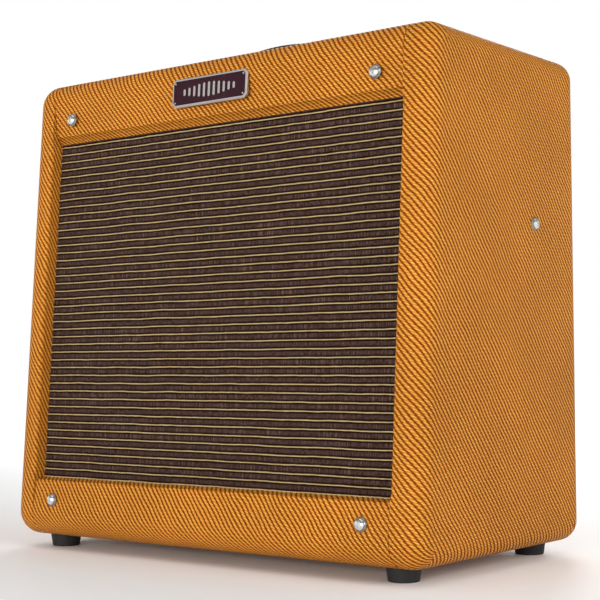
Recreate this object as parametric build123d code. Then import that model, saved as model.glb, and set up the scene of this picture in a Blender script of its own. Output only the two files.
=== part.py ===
"""A small valve guitar combo: tweed cabinet with a leaning front, ten-inch speaker and top control panel.

Frame: +Z up, -Y is the front, +X is the right-hand side seen from the front. The origin is on the floor
under the middle of the cabinet. Lengths are millimetres, angles degrees.
"""

from build123d import *
from math import atan, cos, degrees, pi, radians, sin, tan
import os

# Cabinet
CAB_W = 400.0
CAB_H = 375.0
CAB_D = 235.0
LEAN = 26.0  # how far the front's top edge sits behind its bottom edge
FOOT_H = 10.0
FOOT_X = 168.0
FOOT_YS = (-86.0, 88.0)
FOOT_TOP_R = 12.5
FOOT_LOW_R = 11.0
SIDE_T = 24.0
PLANK_T = 19.0  # top and bottom boards
EDGE_R = 16.0
FRONT_EDGE_R = 19.5  # along the front's top and bottom
RAIL_T = 11.4
CLOTH_T = 0.6
BAFFLE_T = 15.0
BACK_T = 9.5
GAP = 0.2  # between neighbouring boards, filled by their covering

BASE_Z = FOOT_H
TOP_Z = FOOT_H + CAB_H
FRONT_Y = -CAB_D / 2
BACK_Y = CAB_D / 2
INSIDE_X = CAB_W / 2 - SIDE_T
PANEL_X = INSIDE_X - GAP
PANEL_XS = (-PANEL_X, PANEL_X)
BACK_PANEL_Y = BACK_Y - BACK_T
BAFFLE_BACK = RAIL_T + CLOTH_T + BAFFLE_T
BAFFLE_FOOT = 3.5
BAFFLE_TOP = CAB_H - 8.0
LEAN_ANGLE = degrees(atan(LEAN / CAB_H))
RISE = cos(radians(LEAN_ANGLE))  # height gained per millimetre along the leaning front

# Front opening and back panels, as heights above the cabinet's underside
GRILLE_LOW = 48.0
GRILLE_HIGH = 324.0
LOWER_BACK_TOP = 130.0
UPPER_BACK_FOOT = 236.0

# Oval-head screws in cup washers
CUP_R = 5.3
CUP_H = 1.6
SCREW_HEAD_R = 4.0
SCREW_R = 2.0
FRONT_SCREW_X = 153.0
FRONT_SCREW_HEIGHTS = (30.0, 341.0)
SIDE_BOLT_Y = 45.0
SIDE_BOLT_Z = BASE_Z + 242.0

# Nameplate, centred at a height above the cabinet's underside
PLATE_W = 76.0
PLATE_H = 22.4
PLATE_Z = 347.7

# Handle
STRAP_W = 28.0
STRAP_T = 5.0
STRAP_Y = 4.5
STRAP_FLAT_X = 85.0
STRAP_END_X = 123.0
STRAP_RISE = 15.3
BOW_R = 200.0
CAP_X = 110.0
CAP_LENGTH = 46.0
CAP_WIDTH = 37.0
CAP_HEIGHT = 12.5
CAP_WALL = 1.5
STRAP_LIFT = 3.0

# Chassis and its controls
SHEET = 1.5
CHASSIS_X = INSIDE_X - 1.5
CHASSIS_FRONT_Y = 34.0
CHASSIS_BACK_Y = BACK_PANEL_Y - 0.3
CHASSIS_TOP_Z = TOP_Z - 4.0
CHASSIS_LOW_Z = BASE_Z + 230.0
LIP = 20.0
CONTROL_Y = 72.0
JACK_XS = (-142.0, -112.0)
VOLUME_X = -68.0
TONE_X = -18.0
JEWEL_X = 36.0
SWITCH_X = 82.0
FUSE_X = 128.0
SWITCH_TILT = 13.0
BUSH_R = 4.7
PLUG_BORE_R = 3.2
SHAFT_R = 3.0
RUNNING_GAP = 0.05
NUT_H = 2.2

# Below the chassis
VALVE_Y = 72.0
SMALL_VALVE_XS = (-150.0, -116.0)
LARGE_VALVE_XS = (-80.0, -44.0)
SMALL_VALVE_L = 48.0
LARGE_VALVE_L = 66.0
VALVE_R = 11.0
SPEAKER_JACK_X = -14.0
OUTPUT_TR_X = 23.0
POWER_TR_X = 86.0
INLET_X = 146.0

# Speaker, on the leaning front's own axes: height along the front, depth behind it
SPEAKER_V = 185.0 / RISE
CUTOUT_R = 116.0
BASKET_R = 129.5
SPEAKER_BOLT_R = 123.0
SPEAKER_BOLTS = 8
GASKET_T = 2.5
FLANGE_T = 1.2
SPOKES = 6
TERMINAL_ANGLE = 30.0
TERMINAL_R = 88.0
LEAD_R = 2.6

FRONT = Plane(
    origin=(0, FRONT_Y, BASE_Z),
    x_dir=(1, 0, 0),
    z_dir=(0, -cos(radians(LEAN_ANGLE)), sin(radians(LEAN_ANGLE))),
)
SPEAKER = FRONT * Pos(0, SPEAKER_V, -RAIL_T - CLOTH_T - BAFFLE_T)


# Helpers


def save(name, *solids):
    os.makedirs("parts", exist_ok=True)
    shape = solids[0] if len(solids) == 1 else Compound(list(solids))
    export_step(shape, f"parts/{name}.step")


def block(x, y, z):
    """A box between two x, two y and two z limits."""
    size = Box(x[1] - x[0], y[1] - y[0], z[1] - z[0])
    return Pos((x[0] + x[1]) / 2, (y[0] + y[1]) / 2, (z[0] + z[1]) / 2) * size


def rod(radius, low, high):
    """A cylinder on the Z axis between two heights."""
    return Pos(0, 0, (low + high) / 2) * Cylinder(radius, high - low)


def tube(outer, inner, low, high):
    return rod(outer, low, high) - rod(inner, low - 1, high + 1)


def turned(*points):
    """A solid of revolution about Z from a closed outline of (radius, height) points."""
    outline = make_face(Polyline(*points, close=True))
    return revolve(Plane.XZ * outline, Axis.Z)


def hexagon_nut(across, height, bore):
    nut = extrude(RegularPolygon(across / 2, 6, major_radius=False), height)
    return nut - rod(bore, -1, height + 1)


def front_at(x, height, out=0.0):
    """A place on the leaning front at a height above the cabinet's underside."""
    return FRONT * Pos(x, height / RISE, out)


def outer_body():
    """The whole cabinet as one rounded block with a leaning front."""
    side = Polygon(
        (FRONT_Y, BASE_Z),
        (BACK_Y, BASE_Z),
        (BACK_Y, TOP_Z),
        (FRONT_Y + LEAN, TOP_Z),
        align=None,
    )
    body = extrude(Plane.YZ * side, CAB_W / 2, both=True)
    body = fillet(body.edges().filter_by(Axis.X).sort_by(Axis.Y)[:2], FRONT_EDGE_R)
    body = fillet(body.edges().filter_by(Axis.X).sort_by(Axis.Y)[-2:], EDGE_R)
    round_the_sides = [e for e in body.edges() if abs(abs(e.center().X) - CAB_W / 2) < 0.01]
    return fillet(round_the_sides, EDGE_R)


def front_layer(near, far, low, high, half_width):
    """A slab parallel to the leaning front, from depth near to depth far behind it."""
    slab = block((-half_width, half_width), (low / RISE, high / RISE), (-far, -near))
    return FRONT * slab


# Fasteners


def cup_washer():
    """A finishing cup washer whose flat foot is at Z = 0."""
    return turned(
        (CUP_R, 0),
        (CUP_R, 0.4),
        (CUP_R - 0.7, 1.2),
        (SCREW_HEAD_R + 0.35, CUP_H),
        (SCREW_HEAD_R + 0.15, CUP_H),
        (SCREW_R + 0.4, 0.25),
        (SCREW_R + 0.4, 0),
    )


def oval_screw(length):
    """A crosshead oval screw seated in a cup washer; its shank points down."""
    head = turned(
        (0, 0.3),
        (SCREW_R, 0.3),
        (SCREW_HEAD_R, CUP_H + 0.05),
        (SCREW_HEAD_R - 0.6, CUP_H + 0.75),
        (SCREW_HEAD_R * 0.55, CUP_H + 1.3),
        (0, CUP_H + 1.5),
    )
    slot = Pos(0, 0, CUP_H + 1.2) * Box(4.6, 0.9, 1.8)
    cross = slot + Rot(0, 0, 90) * slot
    return head + rod(SCREW_R, 0.3 - length, 0.4) - cross


def screw_places():
    """Every place where an oval screw in a cup washer sits, with its length."""
    places = []
    for sign in (-1, 1):
        for height in FRONT_SCREW_HEIGHTS:
            places.append((front_at(sign * FRONT_SCREW_X, height), 24.0))
        bolt = Pos(sign * CAB_W / 2, SIDE_BOLT_Y, SIDE_BOLT_Z) * Rot(0, sign * 90, 0)
        places.append((bolt, 34.0))
    for place in back_screw_places():
        places.append((place, 18.0))
    return places


def back_screw_places():
    places = []
    for sign in (-1, 1):
        for x, z in ((160, 361), (60, 361), (160, 254), (60, 254), (168, 54), (168, 118)):
            places.append(Pos(sign * x, BACK_Y, z) * Rot(-90, 0, 0))
    return places


def screw_holes(radius=SCREW_R + 0.4):
    return [place * rod(radius, -length - 2, 3) for place, length in screw_places()]


# Cabinet


def make_cabinet():
    body = outer_body()
    holes = screw_holes()
    mid = (BASE_Z + PLANK_T, TOP_Z - PLANK_T)
    for name, sign in (("left", -1), ("right", 1)):
        limits = sorted((sign * INSIDE_X, sign * CAB_W))
        board = body & block(limits, (-CAB_D, CAB_D), (0, TOP_Z + 5))
        save(f"side_board_{name}", board - holes)

    top = body & block(PANEL_XS, (-CAB_D, CHASSIS_FRONT_Y - GAP), (mid[1], TOP_Z + 5))
    top -= front_layer(-5, RAIL_T + GAP, -20, CAB_H + 20, CAB_W)
    top -= front_layer(RAIL_T, BAFFLE_BACK + GAP, 0, BAFFLE_TOP + GAP, CAB_W)
    for sign in (-1, 1):
        top -= Pos(sign * CAP_X, STRAP_Y, 0) * rod(SCREW_R + 0.05, mid[1] + 2, TOP_Z + 5)
    save("top_board", top)

    bottom = body & block(PANEL_XS, (-CAB_D, CAB_D), (0, mid[0]))
    bottom -= front_layer(-5, BAFFLE_BACK + GAP, -20, CAB_H + 20, CAB_W)
    for x, y in foot_places():
        bottom -= Pos(x, y, 0) * rod(SCREW_R + 0.05, 0, mid[0] - 4)
    save("bottom_board", bottom)

    upper = body & front_layer(0, RAIL_T, GRILLE_HIGH, CAB_H + 20, PANEL_X)
    save("upper_front_rail", upper - holes)
    lower = body & front_layer(0, RAIL_T, -20, GRILLE_LOW, PANEL_X)
    save("lower_front_rail", lower - holes)

    upper_z = (BASE_Z + UPPER_BACK_FOOT, TOP_Z)
    upper_back = body & block(PANEL_XS, (BACK_PANEL_Y, CAB_D), upper_z)
    save("upper_back_panel", upper_back - holes)
    lower_z = (mid[0] + GAP, BASE_Z + LOWER_BACK_TOP)
    lower_back = body & block(PANEL_XS, (BACK_PANEL_Y, CAB_D), lower_z)
    save("lower_back_panel", lower_back - holes)


def make_baffle():
    holes = screw_holes(SCREW_R + 0.05)
    board = front_layer(RAIL_T + CLOTH_T, BAFFLE_BACK, BAFFLE_FOOT, BAFFLE_TOP, PANEL_X)
    board -= SPEAKER * rod(CUTOUT_R, -5, BAFFLE_T + 5)
    for place in speaker_bolt_places():
        board -= place * rod(2.05, -2, 12)
    save("baffle_board", board - holes)

    cloth = front_layer(RAIL_T, RAIL_T + CLOTH_T, BAFFLE_FOOT, BAFFLE_TOP, PANEL_X)
    save("grille_cloth", cloth - screw_holes())

    cleats = []
    for sign in (-1, 1):
        batten = block(
            sorted((sign * (INSIDE_X - 0.05), sign * (INSIDE_X - 18))),
            ((PLANK_T + 5) / RISE, (CAB_H - PLANK_T - 5) / RISE),
            (-BAFFLE_BACK - 18, -BAFFLE_BACK),
        )
        cleats.append(FRONT * batten)
    for sign in (-1, 1):
        cleats.append(
            block(
                sorted((sign * (INSIDE_X - 0.05), sign * (INSIDE_X - 16))),
                (BACK_PANEL_Y - 16, BACK_PANEL_Y),
                (BASE_Z + PLANK_T + 1, BASE_Z + LOWER_BACK_TOP - 2),
            )
        )
    tight = screw_holes(SCREW_R + 0.02)
    save("cleats", *[cleat - tight for cleat in cleats])


def foot_places():
    return [(x, y) for x in (-FOOT_X, FOOT_X) for y in FOOT_YS]


def make_feet():
    """Tapered rubber feet, each with its screw's head sunk in a well."""
    well_r = 6.5
    well_top = FOOT_H - 4
    foot = turned(
        (SCREW_R + 0.4, well_top),
        (well_r, well_top),
        (well_r, 0.0),
        (FOOT_LOW_R, 0.0),
        (FOOT_TOP_R, FOOT_H),
        (SCREW_R + 0.4, FOOT_H),
    )
    foot = fillet(foot.edges().group_by(Axis.Z)[0], 1.0)
    screw = turned((0, 2.6), (4.6, 3.4), (4.6, 4.6), (SCREW_R, well_top), (SCREW_R, 22), (0, 24))
    save("rubber_feet", *[Pos(x, y, 0) * foot for x, y in foot_places()])
    save("foot_screws", *[Pos(x, y, 0) * screw for x, y in foot_places()])


def make_screws():
    save("oval_screws", *[place * oval_screw(length) for place, length in screw_places()])
    save("screw_cups", *[place * cup_washer() for place, length in screw_places()])


# Nameplate


def rounded_bar(x, height, width, thick):
    bar = extrude(SlotOverall(height, width), thick)
    return Pos(x, 0, 0) * Rot(0, 0, 90) * bar


def make_nameplate():
    place = front_at(0, PLATE_Z)
    border = 1.7
    corner = 3.0
    outline = chamfer(Rectangle(PLATE_W, PLATE_H).vertices(), corner)
    window = chamfer(Rectangle(PLATE_W - 2 * border, PLATE_H - 2 * border).vertices(), corner * 0.7)
    frame = extrude(outline, 2.4)
    frame = chamfer(frame.faces().sort_by(Axis.Z)[-1].edges(), 0.7)
    frame -= Pos(0, 0, 0.8) * extrude(window, 3)
    pins = []
    for sx in (-1, 1):
        for sy in (-1, 1):
            spot = Pos(sx * (PLATE_W / 2 - 3.6), sy * (PLATE_H / 2 - 3.6), 0)
            frame -= spot * rod(0.8, 0.6, 3)
            pins.append(spot * turned((0, 0.6), (0.8, 0.6), (0.8, 2.7), (0.5, 3.0), (0, 3.1)))
    field = Pos(0, 0, 0.8) * extrude(offset(window, -0.05), 0.5)
    field -= pins
    save("nameplate_frame", *[place * piece for piece in (frame, *pins)])
    save("nameplate_field", place * field)
    bars = []
    count = 11
    pitch = 5.0
    for i in range(count):
        offset_from_middle = i - (count - 1) / 2
        height = 4.2 + 7.2 * cos(radians(90 * offset_from_middle / 6.5)) ** 2
        bar = rounded_bar(offset_from_middle * pitch, height, 2.2, 1.0)
        bars.append(place * Pos(0, 0, 1.3) * bar)
    save("nameplate_bars", *bars)


# Handle


def strap_edge(shift):
    """Half of the strap's side outline, from its middle outwards, shifted across its thickness."""
    turn = 2 * atan(STRAP_RISE / STRAP_FLAT_X)
    end_r = STRAP_FLAT_X / sin(turn) - BOW_R
    flat_z = TOP_Z + 0.3 + STRAP_T / 2
    bow_z = flat_z + STRAP_RISE - BOW_R
    joint = (BOW_R + shift) * sin(turn), bow_z + (BOW_R + shift) * cos(turn)
    middle_turn = turn / 2
    top = (0, bow_z + BOW_R + shift)
    between = (BOW_R + shift) * sin(middle_turn), bow_z + (BOW_R + shift) * cos(middle_turn)
    end_centre = (STRAP_FLAT_X, flat_z + end_r)
    bend = end_r - shift
    low = (
        end_centre[0] - bend * sin(middle_turn),
        end_centre[1] - bend * cos(middle_turn),
    )
    foot = (STRAP_FLAT_X, flat_z + shift)
    end = (STRAP_END_X, flat_z + shift)
    return ThreePointArc(top, between, joint), ThreePointArc(joint, low, foot), Line(foot, end)


def make_handle():
    upper = strap_edge(STRAP_T / 2)
    lower = strap_edge(-STRAP_T / 2)
    close_end = Line(upper[2] @ 1, lower[2] @ 1)
    close_middle = Line(upper[0] @ 0, lower[0] @ 0)
    half = make_face([*upper, close_end, *lower, close_middle])
    solid = extrude(Plane.XZ * half, STRAP_W / 2, both=True)
    strap = solid + mirror(solid, Plane.YZ)
    long_edges = [e for e in strap.edges() if abs(abs(e.center().Y) - STRAP_W / 2) < 0.01]
    strap = fillet(long_edges, 1.6)
    strap = Pos(0, STRAP_Y, 0) * strap
    slot = extrude(SlotOverall(17, 7), 30)
    for sign in (-1, 1):
        strap -= Pos(sign * CAP_X, STRAP_Y, TOP_Z - 5) * slot
    save("handle_strap", strap)

    caps = []
    screws = []
    for sign in (-1, 1):
        outer = Box(CAP_LENGTH, CAP_WIDTH, 2 * CAP_HEIGHT)
        outer = fillet(outer.edges().filter_by(Axis.Z), 7)
        outer = fillet(outer.faces().sort_by(Axis.Z)[-1].edges(), 4)
        inner = Box(CAP_LENGTH - 2 * CAP_WALL, CAP_WIDTH - 2 * CAP_WALL, 2 * (CAP_HEIGHT - CAP_WALL))
        inner = fillet(inner.edges().filter_by(Axis.Z), 5.5)
        inner = fillet(inner.faces().sort_by(Axis.Z)[-1].edges(), 2)
        mouth_h = STRAP_T + STRAP_LIFT + 1.6
        mouth = block((-CAP_LENGTH, 0), (-STRAP_W / 2 - 0.6, STRAP_W / 2 + 0.6), (-1, mouth_h))
        cap = outer - inner - mouth - block((-99, 99), (-99, 99), (-99, 0))
        cap -= rod(SCREW_R + 0.4, -1, 30)
        place = Pos(sign * CAP_X, STRAP_Y, TOP_Z) * Rot(0, 0, 90 - sign * 90)
        caps.append(place * cap)
        screws.append(Pos(sign * CAP_X, STRAP_Y, TOP_Z + CAP_HEIGHT) * cap_screw())
    save("handle_caps", *caps)
    save("handle_screws", *screws)


def cap_screw():
    """A pan-head screw whose head sits on the cap."""
    head = turned((0, 0), (4.2, 0), (4.2, 1.2), (2.6, 2.4), (0, 2.7))
    slot = Pos(0, 0, 2.4) * Box(4.4, 0.9, 2.0)
    return head + rod(SCREW_R, -CAP_HEIGHT - 14, 0.5) - slot - Rot(0, 0, 90) * slot


# Chassis


def chassis_top_holes():
    """Control positions in the chassis top with their hole radii."""
    holes = [(x, BUSH_R + 0.15) for x in (*JACK_XS, VOLUME_X, TONE_X)]
    return holes + [(JEWEL_X, 8.1), (SWITCH_X, 6.1), (FUSE_X, 7.1)]


def make_chassis():
    x = (-CHASSIS_X, CHASSIS_X)
    y = (CHASSIS_FRONT_Y, CHASSIS_BACK_Y)
    z = (CHASSIS_LOW_Z, CHASSIS_TOP_Z)
    shell = block(x, y, z)
    shell = fillet(shell.edges().filter_by(Axis.X).sort_by(Axis.Y)[:2], 3.0)
    inner = block((x[0] + SHEET, x[1] - SHEET), (y[0] + SHEET, y[1] - SHEET), (z[0] + SHEET, z[1] - SHEET))
    inner = fillet(inner.edges().filter_by(Axis.X).sort_by(Axis.Y)[:2], 1.5)
    mouth = block((x[0] + SHEET, x[1] - SHEET), (y[1] - 5, y[1] + 5), (z[0] + LIP, z[1] - LIP))
    chassis = shell - inner - mouth
    for hole_x, radius in chassis_top_holes():
        chassis -= Pos(hole_x, CONTROL_Y, 0) * rod(radius, z[1] - 3, z[1] + 3)
    for hole_x in (*SMALL_VALVE_XS, *LARGE_VALVE_XS):
        chassis -= Pos(hole_x, VALVE_Y, 0) * rod(VALVE_R, z[0] - 3, z[0] + 3)
    chassis -= Pos(SPEAKER_JACK_X, VALVE_Y, 0) * rod(BUSH_R + 0.15, z[0] - 3, z[0] + 3)
    chassis -= block((INLET_X - 13.9, INLET_X + 13.9), (VALVE_Y - 10.4, VALVE_Y + 10.4), (z[0] - 3, z[0] + 3))
    for hole_x in (OUTPUT_TR_X, POWER_TR_X):
        chassis -= Pos(hole_x, VALVE_Y, 0) * rod(5, z[0] - 3, z[0] + 3)
    save("chassis", chassis - screw_holes(SCREW_R + 0.05))


def control_place(x):
    return Pos(x, CONTROL_Y, CHASSIS_TOP_Z)


def make_jacks():
    """Quarter-inch jack sockets; the panel face is Z = 0 and the plug enters from above."""
    body = block((-9, 9), (-8, 8), (-SHEET - 24, -SHEET)) + rod(BUSH_R, -SHEET - 1, 6.5)
    body = body - rod(PLUG_BORE_R, -SHEET - 22, 10)
    tabs = [Pos(x, 0, 0) * Box(3, 0.8, 6) for x in (-5, 5)]
    for tab in tabs:
        body += Pos(0, 4, -SHEET - 26.5) * tab
    places = [control_place(x) for x in JACK_XS]
    places.append(Pos(SPEAKER_JACK_X, VALVE_Y, CHASSIS_LOW_Z) * Rot(180, 0, 0))
    save("jack_sockets", *[place * body for place in places])
    nut = hexagon_nut(12.7, NUT_H, BUSH_R)
    nuts = [place * nut for place in places]
    nuts += [control_place(x) * nut for x in (VOLUME_X, TONE_X)]
    nuts.append(control_place(SWITCH_X) * hexagon_nut(15.0, NUT_H, 6.0))
    for sign in (-1, 1):
        inside = Pos(sign * (CHASSIS_X - SHEET), SIDE_BOLT_Y, SIDE_BOLT_Z) * Rot(0, -sign * 90, 0)
        nuts.append(inside * hexagon_nut(8.0, 3.2, SCREW_R + 0.02))
    save("hex_nuts", *nuts)


def make_pots():
    """Potentiometers hang from the control panel; their shafts turn in the bushings."""
    case = rod(12, -SHEET - 11, -SHEET) + rod(BUSH_R, -SHEET - 1, 4.8)
    case -= rod(SHAFT_R + RUNNING_GAP, -SHEET - 8, 10)
    case -= rod(6.0, -SHEET - 9, -SHEET - 6)
    for x in (-6, 0, 6):
        case += Pos(x, 14.2, -SHEET - 3) * Box(2.4, 5.6, 0.8)
    save("pots", *[control_place(x) * case for x in (VOLUME_X, TONE_X)])
    shaft = rod(SHAFT_R, -SHEET - 7.5, 13.0) + rod(5.5, -SHEET - 8.6, -SHEET - 6.4)
    knob = pointer_knob()
    for name, x in (("volume", VOLUME_X), ("tone", TONE_X)):
        save(f"{name}_shaft", control_place(x) * shaft)
        save(f"{name}_knob", control_place(x) * knob)


def pointer_knob():
    """A pointer knob with a round skirt; its beak points to the front at mid-travel."""
    skirt = turned((0, 3.0), (10.5, 3.0), (10.5, 5.0), (9.6, 6.2), (0, 6.2))
    beak_length = 15.5
    tail_r = 6.2
    tip_r = 2.4
    lean = atan((tail_r - tip_r) / beak_length)
    tip = (tip_r * cos(lean), -beak_length + tip_r * -sin(lean))
    shoulder = (tail_r * cos(lean), -tail_r * sin(lean))
    outline = make_face(
        [
            Line(tip, shoulder),
            ThreePointArc(shoulder, (0, tail_r), (-shoulder[0], shoulder[1])),
            Line((-shoulder[0], shoulder[1]), (-tip[0], tip[1])),
            ThreePointArc((-tip[0], tip[1]), (0, -beak_length - tip_r), tip),
        ]
    )
    bar = extrude(Pos(0, 0, 6.0) * outline, 11.0, taper=4)
    bar = fillet(bar.faces().sort_by(Axis.Z)[-1].edges(), 0.8)
    return skirt + bar - rod(SHAFT_R, 2, 13.0) - rod(BUSH_R + 0.5, 2, 5.4)


def make_switch_lamp_fuse():
    body = block((-7, 7), (-14, 14), (-SHEET - 20, -SHEET))
    bush = rod(5.9, -SHEET - 1, 8.0)
    mouth = turned((0, 3.0), (3.0, 3.0), (4.6, 9.0), (0, 9.0))
    pocket = rod(4.6, -SHEET - 8, 3.4)
    switch = body + bush - mouth - pocket
    save("power_switch", control_place(SWITCH_X) * switch)
    lever = turned(
        (0, 1.0), (1.5, 1.0), (1.5, 8.0), (2.0, 12.0), (3.0, 21.0), (3.0, 23.0), (2.0, 24.6), (0, 25.0)
    )
    ball = Pos(0, 0, -0.6) * Sphere(3.6)
    tail = rod(1.2, -6.5, 0)
    tilt = Pos(0, 0, -0.6) * Rot(SWITCH_TILT, 0, 0) * Pos(0, 0, 0.6)
    save("switch_lever", control_place(SWITCH_X) * tilt * (lever + ball + tail))

    bezel = turned(
        (6.6, 4.5),
        (6.6, 0.6),
        (6.0, -SHEET - 14),
        (7.9, -SHEET - 14),
        (7.9, 0),
        (10.4, 0),
        (10.4, 1.2),
        (8.6, 4.5),
    )
    holder = rod(7.9, -SHEET - 24, -SHEET - 14) - rod(4.0, -SHEET - 22, 0)
    save("jewel_bezel", control_place(JEWEL_X) * (bezel + holder))
    lens = jewel_lens()
    save("jewel_lens", control_place(JEWEL_X) * lens)

    holder = turned(
        (5.2, 1.0), (5.2, -36), (0, -36), (0, -38), (6.9, -38), (6.9, 0), (9.0, 0), (9.0, 1.0)
    )
    save("fuse_holder", control_place(FUSE_X) * holder)
    cap = rod(7.4, 1.3, 9.0) + rod(4.9, -8, 1.5)
    cap = chamfer(cap.faces().sort_by(Axis.Z)[-1].edges(), 0.8)
    cap -= Pos(0, 0, 8.6) * Box(11, 1.4, 2.4)
    cap -= rod(2.6, -9, -3)
    save("fuse_cap", control_place(FUSE_X) * cap)
    save("fuse", control_place(FUSE_X) * rod(2.55, -35, -15))


def jewel_lens():
    """A faceted jewel: a short round stem under a many-sided dome."""
    sides = 12
    low = Pos(0, 0, 4.6) * RegularPolygon(7.6, sides)
    middle = Pos(0, 0, 7.4) * RegularPolygon(6.0, sides, rotation=180 / sides)
    high = Pos(0, 0, 8.8) * RegularPolygon(2.6, sides)
    return rod(6.3, 1.0, 4.7) + loft([low, middle]) + loft([middle, high])


def make_inlet():
    """A three-pin mains inlet in the chassis floor, open downwards."""
    place = Pos(INLET_X, VALVE_Y, CHASSIS_LOW_Z)
    flange = fillet(Box(42, 25, 3).edges().filter_by(Axis.Z), 4)
    body = Pos(0, 0, -1.5) * flange + block((-13.7, 13.7), (-10.2, 10.2), (-1, 22))
    recess = extrude(chamfer(Rectangle(24, 16.5).vertices()[2:], 4.0), 21.5)
    body -= Pos(0, 0, -4.0) * recess
    for x, y in ((-7, -2.0), (7, -2.0), (0, 2.6)):
        body += Pos(x, y, 11.5) * Box(2.2, 4.2, 13.5)
    for x in (-17.5, 17.5):
        body -= Pos(x, 0, 0) * rod(1.6, -4, 1)
    save("mains_inlet", place * body)


# Valves and transformers


def make_valves():
    sockets = []
    glass = []
    stacks = []
    for xs, length in ((SMALL_VALVE_XS, SMALL_VALVE_L), (LARGE_VALVE_XS, LARGE_VALVE_L)):
        for x in xs:
            place = Pos(x, VALVE_Y, CHASSIS_LOW_Z) * Rot(180, 0, 0)
            sockets.append(place * valve_socket())
            glass.append(place * valve_glass(length))
            stacks.append(place * electrode_stack(length))
    save("valve_sockets", *sockets)
    save("valve_glass", *glass)
    save("valve_electrodes", *stacks)


def valve_socket():
    """A nine-pin socket: Z points away from the chassis floor, towards the valve."""
    ring = rod(VALVE_R - 0.1, -SHEET - 8, 4) + tube(14, 9, 0, 1.2)
    ring -= rod(8.0, 2.5, 5)
    for i in range(9):
        ring += Rot(0, 0, 36 * i) * Pos(6, 0, -SHEET - 10) * Box(2.4, 0.6, 5)
    return ring


def valve_glass(length):
    """A hollow envelope with a flat pinned foot and a drawn tip."""
    radius = 10.4
    wall = 0.9
    low = 4.2
    top = low + length
    outer = turned(
        (0, low),
        (radius - 1.2, low),
        (radius, low + 1.5),
        (radius, top - 9),
        (radius - 3.2, top - 5),
        (2.2, top - 2.5),
        (1.2, top),
        (0, top),
    )
    inner = turned(
        (0, low + 2.5),
        (radius - wall, low + 2.5),
        (radius - wall, top - 9.4),
        (radius - 3.8, top - 5.9),
        (0, top - 4.6),
    )
    return outer - inner


def electrode_stack(length):
    """The grey anode with its mica discs, held inside the envelope."""
    low = 8.0
    high = length - 8
    plate = extrude(Ellipse(6.4, 4.4), high - low - 4)
    stack = Pos(0, 0, low + 2) * plate
    for z in (low, high - 2):
        stack += rod(8.8, z, z + 0.8)
        stack += block((-5.4, 5.4), (-1.0, 1.0), (z, z + 4))
    return stack


def make_transformers():
    z = CHASSIS_LOW_Z
    place = Pos(POWER_TR_X, VALVE_Y, z)
    core = block((-33, 33), (-14, 14), (-56, -0.1)) - block((-17, 17), (-15, 15), (-44, -12))
    core += block((-10, 10), (-14, 14), (-45, -11))
    save("power_transformer_core", place * core)
    bells = []
    for sign in (-1, 1):
        bell = block((-30, 30), (0, 15), (-53, -4))
        bell = fillet(bell.edges().group_by(Axis.Y)[-1], 6)
        bell += block((-33, 33), (0, 1.2), (-56, -0.1))
        bell -= block((-27, 27), (-1, 12), (-50, -7))
        bells.append(place * Rot(0, 0, 90 - sign * 90) * Pos(0, 14.05, 0) * bell)
    save("power_transformer_bells", *bells)

    place = Pos(OUTPUT_TR_X, VALVE_Y, z)
    core = block((-22, 22), (-9, 9), (-37, -0.1)) - block((-12, 12), (-10, 10), (-28, -9))
    core += block((-6, 6), (-9, 9), (-29, -8))
    strap = block((-24, 24), (-7, 7), (-38.5, -0.1)) - block((-22.05, 22.05), (-10, 10), (-37.05, 1))
    strap += block((-27, -23), (-7, 7), (-1.4, -0.1)) + block((23, 27), (-7, 7), (-1.4, -0.1))
    coil = block((-11.8, 11.8), (-17, 17), (-27.8, -9.2)) - block((-6.05, 6.05), (-9.05, 9.05), (-30, -5))
    coil = coil - block((-13, 13), (-9.05, 9.05), (-30, -27.0))
    save("output_transformer", place * core, place * coil, place * strap)


# Circuit board


def make_board():
    y = CHASSIS_FRONT_Y + SHEET + 8
    z = (270, 336)
    board = block((-150, 120), (y, y + 1.6), z)
    spots = [(x, height) for x in (-140, -15, 110) for height in (z[0] + 6, z[1] - 6)]
    posts = []
    for x, height in spots:
        turn = Pos(x, CHASSIS_FRONT_Y + SHEET, height) * Rot(-90, 0, 0)
        board -= turn * rod(1.6, 0, 12)
        posts.append(turn * (hexagon_nut(6, 7.95, 1.5) + rod(1.5, 0, 11.5)))
    save("circuit_board", board)
    save("board_standoffs", *posts)
    parts = []
    face = y + 1.6
    for x in (-60, -5, 50):
        can = Pos(x, face + 9.0, z[0] + 18) * Rot(0, 90, 0) * rod(9.0, -22, 22)
        parts.append(can)
    for x in (-118, -96, -30, 30, 90):
        film = Pos(x, face + 4.5, z[1] - 16) * Rot(0, 90, 0) * rod(4.5, -9, 9)
        parts.append(film)
    for x in (-128, -116, -104, -92):
        resistor = Pos(x, face + 2.4, z[0] + 22) * rod(2.4, -8, 8)
        parts.append(resistor)
    save("board_components", *parts)


# Speaker: local Z = 0 is the baffle's rear face, +Z towards the listener


def speaker_bolt_places():
    step = 360 / SPEAKER_BOLTS
    return [SPEAKER * Rot(0, 0, step * (i + 0.5)) * Pos(SPEAKER_BOLT_R, 0, 0) for i in range(SPEAKER_BOLTS)]


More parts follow.
